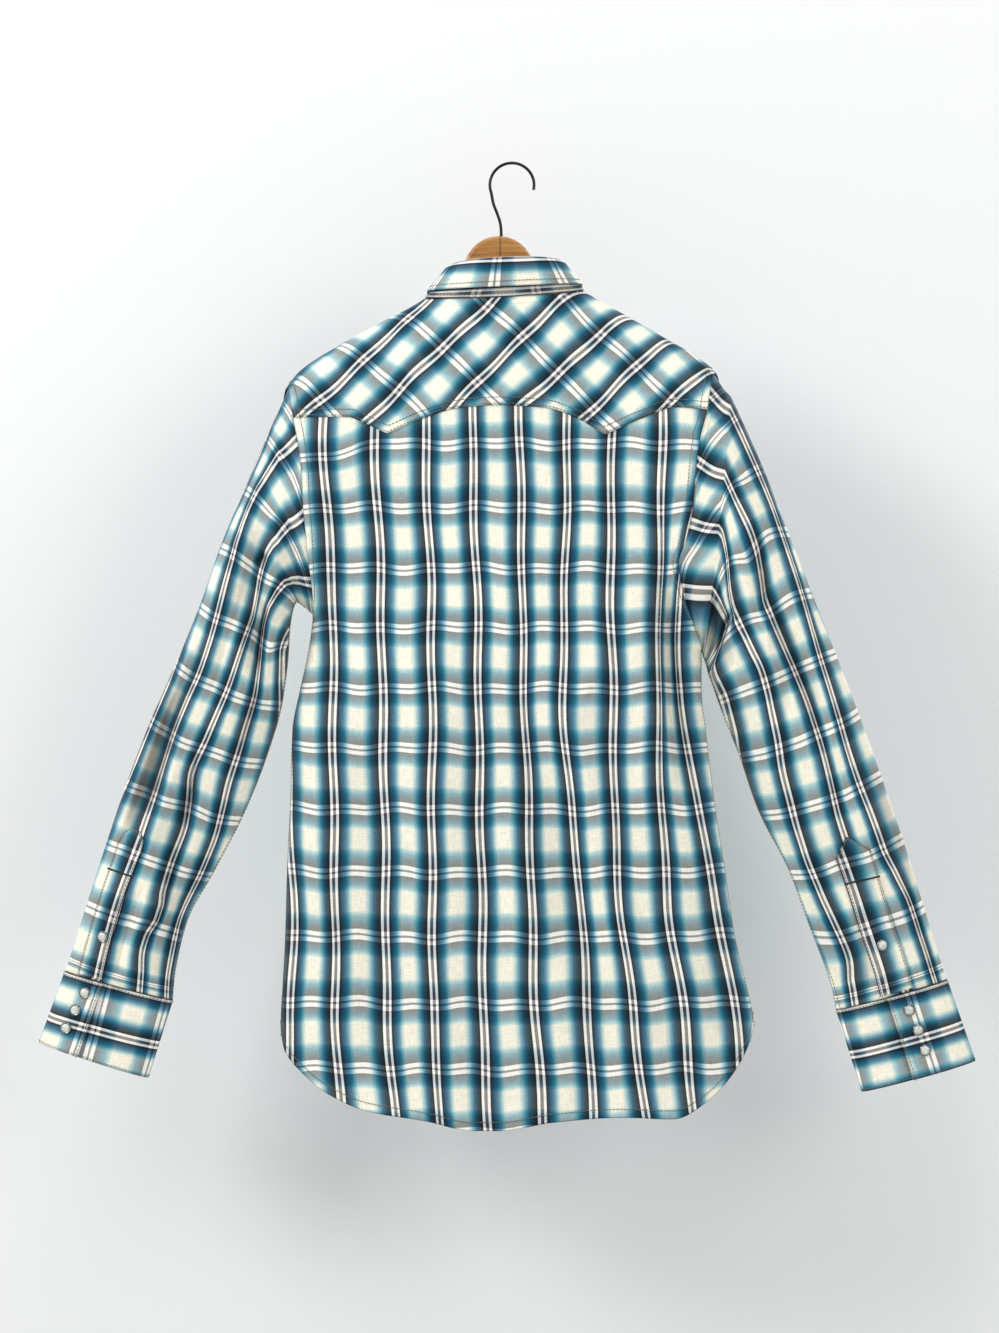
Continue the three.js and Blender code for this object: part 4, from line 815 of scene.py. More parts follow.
    def front_yoke(self, side: Side) -> ClothPiece:
        """A front yoke, from its lower edge up to the shoulder seam and the neck."""
        form = self.form
        _, spread, z = self.front_shape(side)
        seam = form.left if side is Side.LEFT else form.right
        lower_x = mix(seam(self.high_edge()[side.value]), self.front_edge(z, side), spread)
        lower_turn = form.turn_at(lower_x, z)
        corner = form.neck_corner(side) + (0 if side is Side.LEFT else 2 * math.pi)
        shoulder_turn = SHOULDER_TURN + 0.004
        q = np.linspace(0, 13, self.front_columns + 1)
        edge = math.acos(float((self.front_edge(np.float64(-190), side) - NECK_X) / NECK_HALF))
        angle = np.interp(q, [7, 13], [corner, 2 * math.pi - edge])
        neck_x, neck_turn = form.neck(angle)
        shoulder_x = mix(SHOULDER_END[side.value], float(form.neck(np.float64(corner))[0]), q / 7)
        upper_x = np.where(q <= 7, shoulder_x, neck_x)
        upper_turn = np.where(q <= 7, shoulder_turn, -neck_turn)
        up = np.linspace(0, 1, self.yoke_rows + 1)[:, None]
        x, turn = mix(lower_x, upper_x, up), mix(lower_turn, upper_turn, up)
        bare = form.over_shoulder(x, -turn)
        folds = form.relief(x, bare[..., 2], Face.FRONT)
        points = form.over_shoulder(x, -turn, YOKE_PROUD + folds)
        points[..., 1] += self.underlap(x, points[..., 2], side)
        towards, cut = np.array([0, 1, 0.2]), (0.24, 0.15, 0.0215)
        pattern = bias_pattern(points, -side.outward)
        sewn = (Edge.TOP, Edge.START, Edge.BOTTOM)
        return ClothPiece(f"front_yoke_{side.value}", points, pattern, towards, cut, sewn)

    def band(self) -> ClothPiece:
        """The front band, on the left front and its yoke."""
        z = np.linspace(-189, -866, 130)[:, None]
        part = np.linspace(-1, 1, 9)
        x = front_middle(z) + part * (PLACKET_HALF - 0.4)
        lift = 2.0 + YOKE_PROUD * smooth(-242, -228, z)
        points = self.form.place(x, z + 0 * x, Face.FRONT, lift)
        wefts = [np.full_like(points[..., 2], height) for height in BACK_WEFT_Z]
        warp = 0.56 + (x - front_middle(z)) / WARP_REPEAT
        pattern = np.stack([warp, repeats_between(points[..., 2], wefts, -WEFT_REPEAT)], -1)
        sewn = (Edge.START, Edge.END)
        towards, cut = np.array([0, 1, 0.1]), (0.034, 0.68, 0.0226)
        return ClothPiece("front_placket", points, pattern, towards, cut, sewn)

    def build(self) -> dict:
        """Works out all the pieces by name."""
        made = [self.back(), self.back_yoke(), self.band()]
        for side in Side:
            made += [self.front(side), self.front_yoke(side)]
        return {piece.name: piece for piece in made}


def ring_points(ring: np.ndarray, turn: np.ndarray) -> np.ndarray:
    """Points of flattened rings: turn 0 is the outer end, and a quarter turn is the back.

    Args:
        ring: Outer x and z, inner x and z and half depth of each ring, as rows.
        turn: The turns of the points on each ring.

    Returns:
        A grid of points with a row for each ring.
    """
    out_x, out_z, in_x, in_z, half = (ring[:, [column]] for column in range(5))
    bulge = np.abs(np.sin(turn)) ** 0.9 * np.sign(np.sin(turn))
    x = (out_x + in_x) / 2 + (out_x - in_x) / 2 * np.cos(turn)
    z = (out_z + in_z) / 2 + (out_z - in_z) / 2 * np.cos(turn)
    return np.stack([x, -half * bulge, z], -1)


@dataclass
class Sleeve:
    """A sleeve with the band on its slit and its cuff."""

    side: Side
    torso: dict
    around: int = 132
    rows: int = 118
    joining_rows: int = 12

    def armhole(self, turn: np.ndarray) -> np.ndarray:
        """Points of the armhole seam at each turn, from the edges of the panels."""
        column = 0 if self.side is Side.LEFT else -1
        name = self.side.value
        back = self.torso["back"].points[1:, column]
        under = UNDERARM[name]
        back = back[back[:, 2] >= under - 0.01][::-1]
        front = self.torso[f"front_{name}"].points[1:, 0]
        front = front[front[:, 2] >= under - 0.01][::-1]
        yoke = self.torso["back_yoke"].points[:, column]
        front_yoke = self.torso[f"front_yoke_{name}"].points[:, 0][::-1]
        crest = int(np.argmax(yoke[:, 2]))
        behind = np.concatenate([back, yoke[: crest + 1]])
        before = np.concatenate([yoke[crest:], front_yoke, front[::-1]])[::-1]
        high, low = yoke[crest, 2], back[0, 2]
        z = mix(low, high, (np.cos(turn) + 1) / 2)
        made = np.empty((len(turn), 3))
        for line, chosen in ((behind, turn >= 0), (before, turn < 0)):
            order = np.argsort(line[:, 2])
            for axis in (0, 1):
                made[chosen, axis] = np.interp(z[chosen], line[order, 2], line[order, axis])
        made[:, 2] = z
        return made

    def rings(self) -> tuple:
        """The sleeve's rings after the armhole, as their places in the table and their values."""
        rows = [(index + 1, *ring) for index, ring in enumerate(SLEEVE_RINGS[self.side.value])]
        index = np.linspace(1, len(rows), self.rows)
        curves = [Curve(rows, column=column) for column in range(1, 6)]
        return index, np.stack([curve(index) for curve in curves], -1), curves

    def sleeve(self) -> ClothPiece:
        """The sleeve, which starts a little under the edge of the body."""
        turn = np.linspace(np.pi, -np.pi, self.around + 1)
        index, rings, _ = self.rings()
        outward = self.side.outward
        main = ring_points(rings, turn[None, :])
        loop = self.armhole(turn)
        middle = loop.mean(axis=0)
        inward = (middle - loop) * np.array([0, 1, 1])
        inward /= np.linalg.norm(inward, axis=1, keepdims=True)
        first = loop + 1.0 * inward - np.array([2.0 * outward, 0, 0])
        t = np.linspace(0, 1, self.joining_rows + 1)[:-1, None, None]
        chord = main[0] - first
        leaving = (main[1] - main[0]) / (index[1] - index[0])
        joined = first + t * chord + t * t * (1 - t) * (chord - leaving) * -1.0
        points = np.concatenate([joined, main])
        all_index = np.concatenate([np.linspace(0, 1, self.joining_rows + 1)[:-1], index])[:, None]
        face = np.sin(turn)[None, :]
        shift = np.where(face > 0, 0, 8)
        x, z = points[..., 0] + outward * shift, points[..., 2]
        last = len(SLEEVE_RINGS[self.side.value])
        calm = smooth(last, last - 2, all_index) * smooth(0.5, 3, all_index)
        waves = Waves(0.8, shift=2.3 * outward).at(x + 0.45 * outward * z, z)
        lift = (height_of(SLEEVE_FOLDS[self.side.value], x, z) + waves) * calm
        part = (1 - np.cos(turn))[None, :] / 2 + np.where(face > 0, 0, 0.06)
        creases = [
            Fold(ACROSS_SLEEVE * a, RING_APART * i, ACROSS_SLEEVE * b, RING_APART * j, *shape)
            for a, i, b, j, *shape in SLEEVE_CREASES[self.side.value]
        ]
        fine = CREASE_STRENGTH * height_of(creases, ACROSS_SLEEVE * part, RING_APART * all_index)
        lift = lift + fine * smooth(last, last - 0.7, all_index) * smooth(0.4, 1.6, all_index)
        points[..., 1] -= lift * face * abs(face) ** 0.5
        # painted shade in the fold valleys, stronger on the back of the sleeve
        painted_fold_shade = np.clip((-lift - 2) / 12, 0, 1) * (0.7 + 0.3 * face)
        pattern = self.pattern(all_index, points, turn)
        towards = points - points.mean(axis=1, keepdims=True)
        name, cut = f"sleeve_{self.side.value}", (0.40, 0.60, 0.165)
        return ClothPiece(name, points, pattern, towards, cut, tuple(Edge), painted_fold_shade=painted_fold_shade)

    def pattern(self, ring: np.ndarray, points: np.ndarray, turn: np.ndarray) -> np.ndarray:
        """Pattern of the sleeve: as charted on its back, and measured from its outer line on its front.

        Args:
            ring: The ring of each row of points, as a column.
            points: The sleeve's points.
            turn: The turn of each column of points.

        Returns:
            The repeats of warp and weft before each point.
        """
        part = (1 - np.cos(turn))[None, :] / 2 + 0 * ring
        along = ring + 0 * part
        warp_rows, weft_rows = SLEEVE_WARP[self.side.value], SLEEVE_WEFT[self.side.value]
        warps = [Curve(warp_rows, column=column)(along) for column in range(1, len(warp_rows[0]))]
        wefts = [Curve(weft_rows, column=column)(part) for column in range(1, len(weft_rows[0]))]
        charted = repeats_between(part, warps, WARP_REPEAT / ACROSS_SLEEVE)
        outer = int(np.argmin(abs(turn)))
        way = lengths(points, 1)
        measured = charted[:, [outer]] - abs(way - way[:, [outer]]) / WARP_REPEAT
        warp = np.where(turn[None, :] >= 0, charted, measured)
        weft = repeats_between(along, wefts, WEFT_REPEAT / RING_APART)
        return np.stack([warp + SLEEVE_START[0], weft + SLEEVE_START[1]], -1)

    def band(self, sleeve: ClothPiece) -> ClothPiece:
        """The band on the slit, on the sleeve's own face."""
        first, last, high, low = SLEEVE_BAND[self.side.value]
        rows, columns = 60, 13
        turn = np.linspace(np.pi, -np.pi, self.around + 1)
        index, _, _ = self.rings()
        at_row = self.joining_rows + np.interp(np.linspace(first, last, rows), index, np.arange(self.rows))
        at_column = np.interp(-np.linspace(high, low, columns), -turn, np.arange(self.around + 1))
        peak = abs(np.linspace(-1, 1, columns))
        lead = (1 - peak) if self.side is Side.RIGHT else np.sqrt(1 - peak**2)
        row = at_row[:, None] - 3.0 * lead * smooth(0.12, 0, np.linspace(0, 1, rows))[:, None]
        i, j = np.floor(row).astype(int), np.floor(at_column).astype(int)[None, :] + 0 * row.astype(int)
        s, t = (row - i)[..., None], (at_column[None, :] - j)[..., None]

        def blend(grid: np.ndarray) -> np.ndarray:
            """Values of a grid between its own points."""
            return mix(mix(grid[i, j], grid[i, j + 1], t), mix(grid[i + 1, j], grid[i + 1, j + 1], t), s)

        points = blend(sleeve.points) + 1.3 * blend(sleeve.normals)
        pattern = blend(sleeve.pattern)
        from_pair = BAND_PAIR - np.linspace(0, 1, columns)
        pattern[..., 0] = SLEEVE_START[0] + PAIR_MIDDLE + BAND_REPEATS * from_pair
        name = f"sleeve_placket_{self.side.value}"
        sewn = (Edge.TOP, Edge.START, Edge.END)
        return ClothPiece(name, points, pattern, blend(sleeve.normals), (0.03, 0.17, 0.0046), sewn)

    def cuff(self) -> ClothPiece:
        """The cuff, a flat tube whose end laps over itself on the photographed face."""
        top, bottom, lap = CUFF_LINES[self.side.value]
        down = np.linspace(0, 1, 24)[:, None]
        ring = np.concatenate([mix(np.array(top), np.array(bottom), down), np.full((24, 1), CUFF_HALF)], 1)
        total = 2 * np.pi + CUFF_LAP_LENGTH
        travelled = np.linspace(0, 1, 150) * total
        points = ring_points(ring, (lap - travelled)[None, :])
        over = smooth(1.3, 0.55, travelled) - smooth(2 * np.pi - 0.75, 2 * np.pi, travelled)
        middle = np.stack([(ring[:, 0] + ring[:, 2]) / 2, 0 * ring[:, 0], (ring[:, 1] + ring[:, 3]) / 2], -1)
        away = points - middle[:, None, :]
        away[..., 1] *= 1.6
        away /= np.linalg.norm(away, axis=2, keepdims=True)
        points = points + away * (1.55 * over)[None, :, None]
        ripple = 0.5 * np.sin(travelled * 5 + 1)[None, :] * smooth(0.2, 0.6, down)
        points[..., 1] += ripple * smooth(1, 0.7, down)
        warp = 0.1 + lengths(points, 0) / WARP_REPEAT
        weft = 0.35 * (1 + self.side.outward) + lengths(points, 1) / WEFT_REPEAT
        pattern = np.stack([warp, weft + SLEEVE_START[1]], -1)
        name, cut = f"cuff_{self.side.value}", (0.265, 0.075, 0.019)
        return ClothPiece(name, points, pattern, away, cut, tuple(Edge), thickness=1.6)

    def build(self) -> dict:
        """Works out the pieces by name."""
        sleeve = self.sleeve()
        made = [sleeve, self.band(sleeve), self.cuff()]
        return {piece.name: piece for piece in made}


@dataclass
class Collar:
    """The collar's stand and its leaf, which folds over the stand."""

    form: BodyForm
    section: tuple = (
        (0.98, 1.8), (1.02, 1.9), (1.055, 2.3), (1.085, 3.3), (1.098, 4.9),
        (1.09, 6.6), (1.055, 7.9), (1.0, 8.5), (0.95, 8.7), (0.9, 8.8),
    )

    def stand_place(self, turn: np.ndarray, rise: np.ndarray) -> np.ndarray:
        """Points at a part of the way up from the neck seam to the collar's fold."""
        neck_x, neck_turn = self.form.neck(turn)
        foot = self.form.over_shoulder(neck_x, neck_turn)
        foot[..., 0] -= 1.9 * STAND_FOOT_GAP * np.cos(turn)
        foot[..., 2] += STAND_FOOT_GAP * (1 + np.cos(turn) ** 2)
        x = NECK_X + 1 + 49 * np.cos(turn)
        behind = np.sin(turn) >= 0
        fall = np.where(behind, -8 * np.sin(turn), 58 * np.abs(np.sin(turn)) ** 1.3)
        y = -np.where(behind, 31, 34) * np.sin(turn)
        fold = np.stack([x, y, -101 - fall + NECK_TILT * (x - NECK_X)], -1)
        return mix(foot, fold, np.asarray(rise)[..., None])

    def out(self, turn: np.ndarray) -> np.ndarray:
        """Direction out of the collar at a turn round it."""
        away = np.stack([np.cos(turn), -1.2 * np.sin(turn), 0 * turn], -1)
        return away / np.linalg.norm(away, axis=-1, keepdims=True)

    def weft(self, line: np.ndarray, part: str) -> np.ndarray:
        """Repeats of weft round a part of the collar, with a white pair at its charted x on the back."""
        way = lengths(line, 0)
        at_back = np.where(line[..., 1] < 0, abs(line[..., 0] - COLLAR_PAIR_X[part]), 1e3)
        return COLLAR_START[1] + PAIR_MIDDLE + (way - way[int(np.argmin(at_back))]) / WEFT_REPEAT

    def stand(self) -> ClothPiece:
        """The stand, whose ends lap over each other at the front."""
        total = 2 * math.pi + 2 * STAND_LAP
        travelled = np.linspace(0, total, 170)
        turn = (FRONT_TURN - 2 * math.pi + STAND_LAP - travelled)[:, None] + np.zeros((1, 15))
        over = smooth(1, 0.45, travelled) - smooth(total - 1, total - 0.45, travelled)
        rise = np.linspace(0, 0.93, 15)[None, :] + 0 * turn
        points = self.stand_place(turn, rise) + self.out(turn) * (1.5 + 1.5 * over)[:, None, None]
        warp = 0.16 - lengths(points, 1) / WARP_REPEAT
        weft = self.weft(points[:, [0]], "stand")
        pattern = np.stack([warp + COLLAR_START[0], weft + 0 * warp], -1)
        towards, cut = self.out(turn), (0.42, 0.045, 0.015)
        sewn = (Edge.START,)
        return ClothPiece("collar_stand", points, pattern, towards, cut, sewn, thickness=1.4)

    def leaf(self) -> ClothPiece:
        """The leaf: over the fold, down outside the stand and out to its two points."""
        opening = 0.16
        turn = FRONT_TURN - 2 * math.pi - opening - np.linspace(0, 1, 190) * (2 * math.pi - 2 * opening)
        front = smooth(0.1, 0.95, -np.sin(turn))
        out = self.out(turn)
        up = self.stand_place(turn, np.ones_like(turn)) - self.stand_place(turn, np.zeros_like(turn))
        up /= np.linalg.norm(up, axis=1, keepdims=True)
        square = out - up * np.sum(out * up, axis=1, keepdims=True)
        square /= np.linalg.norm(square, axis=1, keepdims=True)
        rows = [
            self.stand_place(turn, np.full_like(turn, rise)) + square * (away + 1.2 * front)[:, None]
            for rise, away in self.section
        ]
        start = rows.pop()
        back_edge = self.stand_place(turn, np.full_like(turn, 0.26)) + out * 6.2
        spread_x = NECK_X + np.cos(turn) * 30 + np.sign(np.cos(turn)) * 34
        point_z = mix(-150, -232, smooth(0.2, 0.97, -np.sin(turn)))
        tip = self.form.place(spread_x, point_z, Face.FRONT, 6.5)
        edge = mix(back_edge, tip, smooth(0.15, 0.9, -np.sin(turn))[:, None])
        for part in np.linspace(0, 1, 15):
            rows.append(mix(start, edge, part) + out * (11 * front * math.sin(math.pi * part))[:, None])
        points = np.stack(rows, 1)
        way = lengths(points, 1)
        warp = (way - way[:, [4]]) / WARP_REPEAT
        weft = self.weft(points[:, [12]], "leaf")
        pattern = np.stack([warp + COLLAR_START[0], weft + 0 * warp], -1)
        towards, cut = out[:, None, :] + np.zeros_like(points), (0.38, 0.09, 0.018)
        sewn = (Edge.END, Edge.TOP, Edge.BOTTOM)
        return ClothPiece("collar_leaf", points, pattern, towards, cut, sewn, thickness=1.2)

    def build(self) -> dict:
        """Works out the pieces by name."""
        return {piece.name: piece for piece in (self.stand(), self.leaf())}


def add_node(tree: bpy.types.NodeTree, kind: str, inputs: dict | None = None, **settings) -> bpy.types.Node:
    """Adds a node to a tree.

    Args:
        tree: The node tree.
        kind: The node's type.
        inputs: Values or linked sockets by the input's name or index.
        **settings: The node's own settings.

    Returns:
        The node.
    """
    node = tree.nodes.new(kind)
    for name, value in settings.items():
        setattr(node, name, value)
    for name, value in (inputs or {}).items():
        if isinstance(value, bpy.types.NodeSocket):
            tree.links.new(value, node.inputs[name])
        else:
            node.inputs[name].default_value = value
    return node


def maths(tree: bpy.types.NodeTree, operation: str, *values) -> bpy.types.NodeSocket:
    """Output of a maths node with these values or sockets as its inputs."""
    return add_node(tree, "ShaderNodeMath", dict(enumerate(values)), operation=operation).outputs[0]


def mapped(
    tree: bpy.types.NodeTree, value: bpy.types.NodeSocket, span: tuple, to: tuple, **settings
) -> bpy.types.NodeSocket:
    """A value that goes from one end of its span to the other, mapped to the span of another two values."""
    inputs = {"Value": value, "From Min": span[0], "From Max": span[1], "To Min": to[0], "To Max": to[1]}
    return add_node(tree, "ShaderNodeMapRange", inputs, **settings).outputs["Result"]


def stretched(
    tree: bpy.types.NodeTree, place: bpy.types.NodeSocket, factors: tuple
) -> bpy.types.NodeSocket:
    """A place with each axis multiplied by its own factor."""
    return add_node(tree, "ShaderNodeVectorMath", {0: place, 1: factors}, operation="MULTIPLY").outputs[0]


def shaded(
    tree: bpy.types.NodeTree, colour: bpy.types.NodeSocket, factor: bpy.types.NodeSocket
) -> bpy.types.NodeSocket:
    """A colour multiplied by a factor."""
    inputs = {0: colour, "Scale": factor}
    return add_node(tree, "ShaderNodeVectorMath", inputs, operation="SCALE").outputs[0]


def linear(colour: str, alpha: float = 1.0) -> tuple:
    """Linear colour from a hexadecimal one as a screen shows it."""
    parts = [int(colour[i : i + 2], 16) / 255 for i in (0, 2, 4)]
    return (*(part / 12.92 if part <= 0.04045 else ((part + 0.055) / 1.055) ** 2.4 for part in parts), alpha)


@dataclass(frozen=True)
class Stripe:
    """A stop of a stripe pattern: its place in the repeat, its colour, and the other yarn's share there."""

    at: float
    colour: str
    other: float


CROSSING_DEPTH = 0.57  # how much light is lost where dark warp and dark weft cross
WARP_STRIPES = (
    Stripe(0.0, "FFFDF8", 0.40), Stripe(0.042, "FFFDF8", 0.40), Stripe(0.050, "575058", 0.24),
    Stripe(0.106, "575058", 0.24), Stripe(0.114, "FFFDF8", 0.40), Stripe(0.156, "FFFDF8", 0.40),
    Stripe(0.165, "050F15", 0.03), Stripe(0.190, "042D41", 0.03), Stripe(0.240, "075370", 0.05),
    Stripe(0.290, "0F6D8D", 0.08), Stripe(0.340, "3691AB", 0.19), Stripe(0.390, "91CAD1", 0.44),
    Stripe(0.445, "FBF6E2", 0.70), Stripe(0.660, "FBF6E2", 0.70), Stripe(0.720, "96CCD3", 0.44),
    Stripe(0.780, "4099B1", 0.19), Stripe(0.840, "0E6380", 0.07), Stripe(0.900, "084156", 0.05),
    Stripe(0.950, "142730", 0.05), Stripe(0.988, "050A0E", 0.03), Stripe(0.996, "FFFDF8", 0.40),
)
WEFT_STRIPES = (
    Stripe(0.0, "FFFDF8", 1.0), Stripe(0.056, "FFFDF8", 1.0), Stripe(0.064, "4E5B66", 1.0),
    Stripe(0.090, "4E5B66", 1.0), Stripe(0.098, "FFFDF8", 1.0), Stripe(0.156, "FFFDF8", 1.0),
    Stripe(0.164, "071820", 1.0), Stripe(0.180, "093E53", 1.0), Stripe(0.250, "136A87", 1.0),
    Stripe(0.310, "4199AF", 1.0), Stripe(0.360, "A0D1D5", 1.0), Stripe(0.400, "FAF5E1", 1.0),
    Stripe(0.710, "FAF5E1", 1.0), Stripe(0.760, "96CCD2", 1.0), Stripe(0.820, "3D97AD", 1.0),
    Stripe(0.890, "126482", 1.0), Stripe(0.965, "093749", 1.0), Stripe(0.990, "060F14", 1.0),
    Stripe(0.998, "FFFDF8", 1.0),
)


def stripes_ramp(tree: bpy.types.NodeTree, stripes: tuple, place: bpy.types.NodeSocket) -> bpy.types.Node:
    """Colour ramp of a stripe pattern, with the other yarn's share as its alpha."""
    node = add_node(tree, "ShaderNodeValToRGB", {"Fac": maths(tree, "FRACT", place)})
    ramp = node.color_ramp
    for stripe in stripes[1:]:
        ramp.elements.new(stripe.at)
    ramp.elements.remove(ramp.elements[-1])
    for element, stripe in zip(ramp.elements, stripes):
        element.position = stripe.at
        element.color = linear(stripe.colour, stripe.other)
    return node


class Groups:
    """Shader node groups that more than one material uses."""

    def __init__(self) -> None:
        """Makes the groups."""
        self.plaid = self.make_plaid()
        self.relief = self.make_relief()

    @staticmethod
    def new(name: str, inputs: tuple, outputs: tuple) -> tuple:
        """A new group with these sockets.

        Args:
            name: The group's name.
            inputs: Name, socket type and default value of each input.
            outputs: Name and socket type of each output.

        Returns:
            The tree, its input node and its output node.
        """
        tree = bpy.data.node_groups.new(name, "ShaderNodeTree")
        for label, kind, value in inputs:
            socket = tree.interface.new_socket(label, in_out="INPUT", socket_type=kind)
            if value is not None:
                socket.default_value = value
        for label, kind in outputs:
            tree.interface.new_socket(label, in_out="OUTPUT", socket_type=kind)
        return tree, tree.nodes.new("NodeGroupInput"), tree.nodes.new("NodeGroupOutput")

    def make_plaid(self) -> bpy.types.NodeTree:
        """The woven plaid: the pattern's place in, the colour out."""
        tree, given, made = self.new(
            "woven_plaid",
            (("Pattern", "NodeSocketVector", None), ("Yarn variation", "NodeSocketFloat", 0.55)),
            (("Color", "NodeSocketColor"),),
        )
        millimetres = stretched(tree, given.outputs["Pattern"], (WARP_REPEAT, WEFT_REPEAT, 1))
        place = add_node(tree, "ShaderNodeSeparateXYZ", {0: given.outputs["Pattern"]})
        wander = add_node(tree, "ShaderNodeTexNoise", {"Vector": millimetres, "Scale": 0.9, "Detail": 2.0})
        jitter = maths(tree, "MULTIPLY", maths(tree, "SUBTRACT", wander.outputs[0], 0.5), 0.008)
        warp = stripes_ramp(tree, WARP_STRIPES, maths(tree, "ADD", place.outputs["X"], jitter))
        weft = stripes_ramp(tree, WEFT_STRIPES, maths(tree, "ADD", place.outputs["Y"], jitter))
        cloth = add_node(
            tree, "ShaderNodeMix",
            {"Factor": warp.outputs["Alpha"], 6: warp.outputs["Color"], 7: weft.outputs["Color"]},
            data_type="RGBA",
        ).outputs[2]
        streaks = 0.0
        for stretch in ((2.0, 0.1, 1.0), (0.1, 2.0, 1.0)):
            drawn = stretched(tree, millimetres, stretch)
            noise = add_node(tree, "ShaderNodeTexNoise", {"Vector": drawn, "Scale": 1.0, "Detail": 2.0})
            streaks = maths(tree, "ADD", streaks, maths(tree, "SUBTRACT", noise.outputs[0], 0.5))
        shade = maths(tree, "MULTIPLY_ADD", streaks, given.outputs["Yarn variation"], 1.0)
        dark_warp, dark_weft = (
            maths(tree, "SUBTRACT", 1.0, add_node(tree, "ShaderNodeRGBToBW", {0: ramp.outputs[0]}).outputs[0])
            for ramp in (warp, weft)
        )
        crossing = maths(tree, "MULTIPLY", dark_warp, dark_weft)
        shade = maths(tree, "MULTIPLY", shade, maths(tree, "MULTIPLY_ADD", crossing, -CROSSING_DEPTH, 1.0))
        tree.links.new(shaded(tree, cloth, shade), made.inputs["Color"])
        return tree

    def make_relief(self) -> bpy.types.NodeTree:
        """Small relief of cloth: yarns, soft creases, and the ridge and puckers along a seam."""
        tree, given, made = self.new(
            "cloth_relief",
            (
                ("Pattern", "NodeSocketVector", None),
                ("Seam distance", "NodeSocketFloat", 60.0),
                ("Crease height", "NodeSocketFloat", 0.35),
                ("Stitch inset", "NodeSocketFloat", 7.0),
            ),
            (("Normal", "NodeSocketVector"),),
        )
        millimetres = stretched(tree, given.outputs["Pattern"], (WARP_REPEAT, WEFT_REPEAT, 1))
        creases = add_node(tree, "ShaderNodeTexNoise", {"Vector": millimetres, "Scale": 0.05, "Detail": 3.0})
        puckers = add_node(tree, "ShaderNodeTexNoise", {"Vector": millimetres, "Scale": 0.17, "Detail": 1.5})
        yarns = add_node(tree, "ShaderNodeTexNoise", {"Vector": millimetres, "Scale": 1.6, "Detail": 2.0})
        distance = given.outputs["Seam distance"]
        inset = given.outputs["Stitch inset"]
        beyond = maths(tree, "SUBTRACT", distance, inset)
        ridge = mapped(tree, beyond, (-0.6, 0.8), (0.45, 0.0), interpolation_type="SMOOTHSTEP")
        near = mapped(tree, distance, (14.0, 3.0), (0.0, 1.0), interpolation_type="SMOOTHSTEP")
        puckered = maths(tree, "MULTIPLY", maths(tree, "MULTIPLY", puckers.outputs[0], near), 1.1)
        height = maths(tree, "MULTIPLY", creases.outputs[0], given.outputs["Crease height"])
        height = maths(tree, "ADD", height, maths(tree, "ADD", ridge, puckered))
        height = maths(tree, "MULTIPLY_ADD", yarns.outputs[0], 0.05, height)
        bump = add_node(tree, "ShaderNodeBump", {"Height": height, "Distance": MM, "Strength": 1.0})
        tree.links.new(bump.outputs["Normal"], made.inputs["Normal"])
        return tree


def new_material(name: str) -> tuple:
    """An empty material.

    Args:
        name: Its name.

    Returns:
        The material, its node tree and its principled shader.
    """
    material = bpy.data.materials.new(name)
    material.use_nodes = True
    return material, material.node_tree, material.node_tree.nodes["Principled BSDF"]


@dataclass(frozen=True)
class PlaidCotton:
    """The shirting, with the plaid woven in."""

    groups: Groups
    roughness: float = 0.86
    sheen: float = 0.12
    # painted shade along the sewn edges: the distances in millimetres over which it fades, and the colour's
    # factor at the edge
    seam_shade_span: tuple = (0.2, 1.5)
    seam_shade_factor: float = 0.45
    # painted shade: the part of the colour lost in the deepest fold valleys
    painted_fold_shade_strength: float = 0.55

    def material(self) -> bpy.types.Material:
        """Makes the material, whose colour carries painted shade in the fold valleys and along the sewn
        edges.
        """
        material, tree, shader = new_material("plaid_cotton")
        pattern = add_node(tree, "ShaderNodeUVMap", uv_map="pattern").outputs["UV"]
        seam = add_node(tree, "ShaderNodeAttribute", attribute_name="seam_mm").outputs["Fac"]
        plaid = add_node(tree, "ShaderNodeGroup", node_tree=self.groups.plaid)
        relief = add_node(tree, "ShaderNodeGroup", node_tree=self.groups.relief)
        for group in (plaid, relief):
            tree.links.new(pattern, group.inputs["Pattern"])
        tree.links.new(seam, relief.inputs["Seam distance"])
        tree.links.new(relief.outputs["Normal"], shader.inputs["Normal"])
        # painted shade: the colour is darkened in the fold valleys and next to the sewn edges
        painted_fold_shade = add_node(tree, "ShaderNodeAttribute", attribute_name="painted_fold_shade").outputs["Fac"]
        fold_shade_factor = maths(tree, "MULTIPLY_ADD", painted_fold_shade, -self.painted_fold_shade_strength, 1.0)
        # painted shade next to each sewn edge, fading out within 1.5 mm of it
        painted_seam_shade = mapped(tree, seam, self.seam_shade_span, (self.seam_shade_factor, 1.0))
        colour = shaded(tree, plaid.outputs["Color"], maths(tree, "MULTIPLY", painted_seam_shade, fold_shade_factor))
        tree.links.new(colour, shader.inputs["Base Color"])
        shader.inputs["Roughness"].default_value = self.roughness
        shader.inputs["Sheen Weight"].default_value = self.sheen
        shader.inputs["Sheen Roughness"].default_value = 0.5
        shader.inputs["Specular IOR Level"].default_value = 0.25
        return material


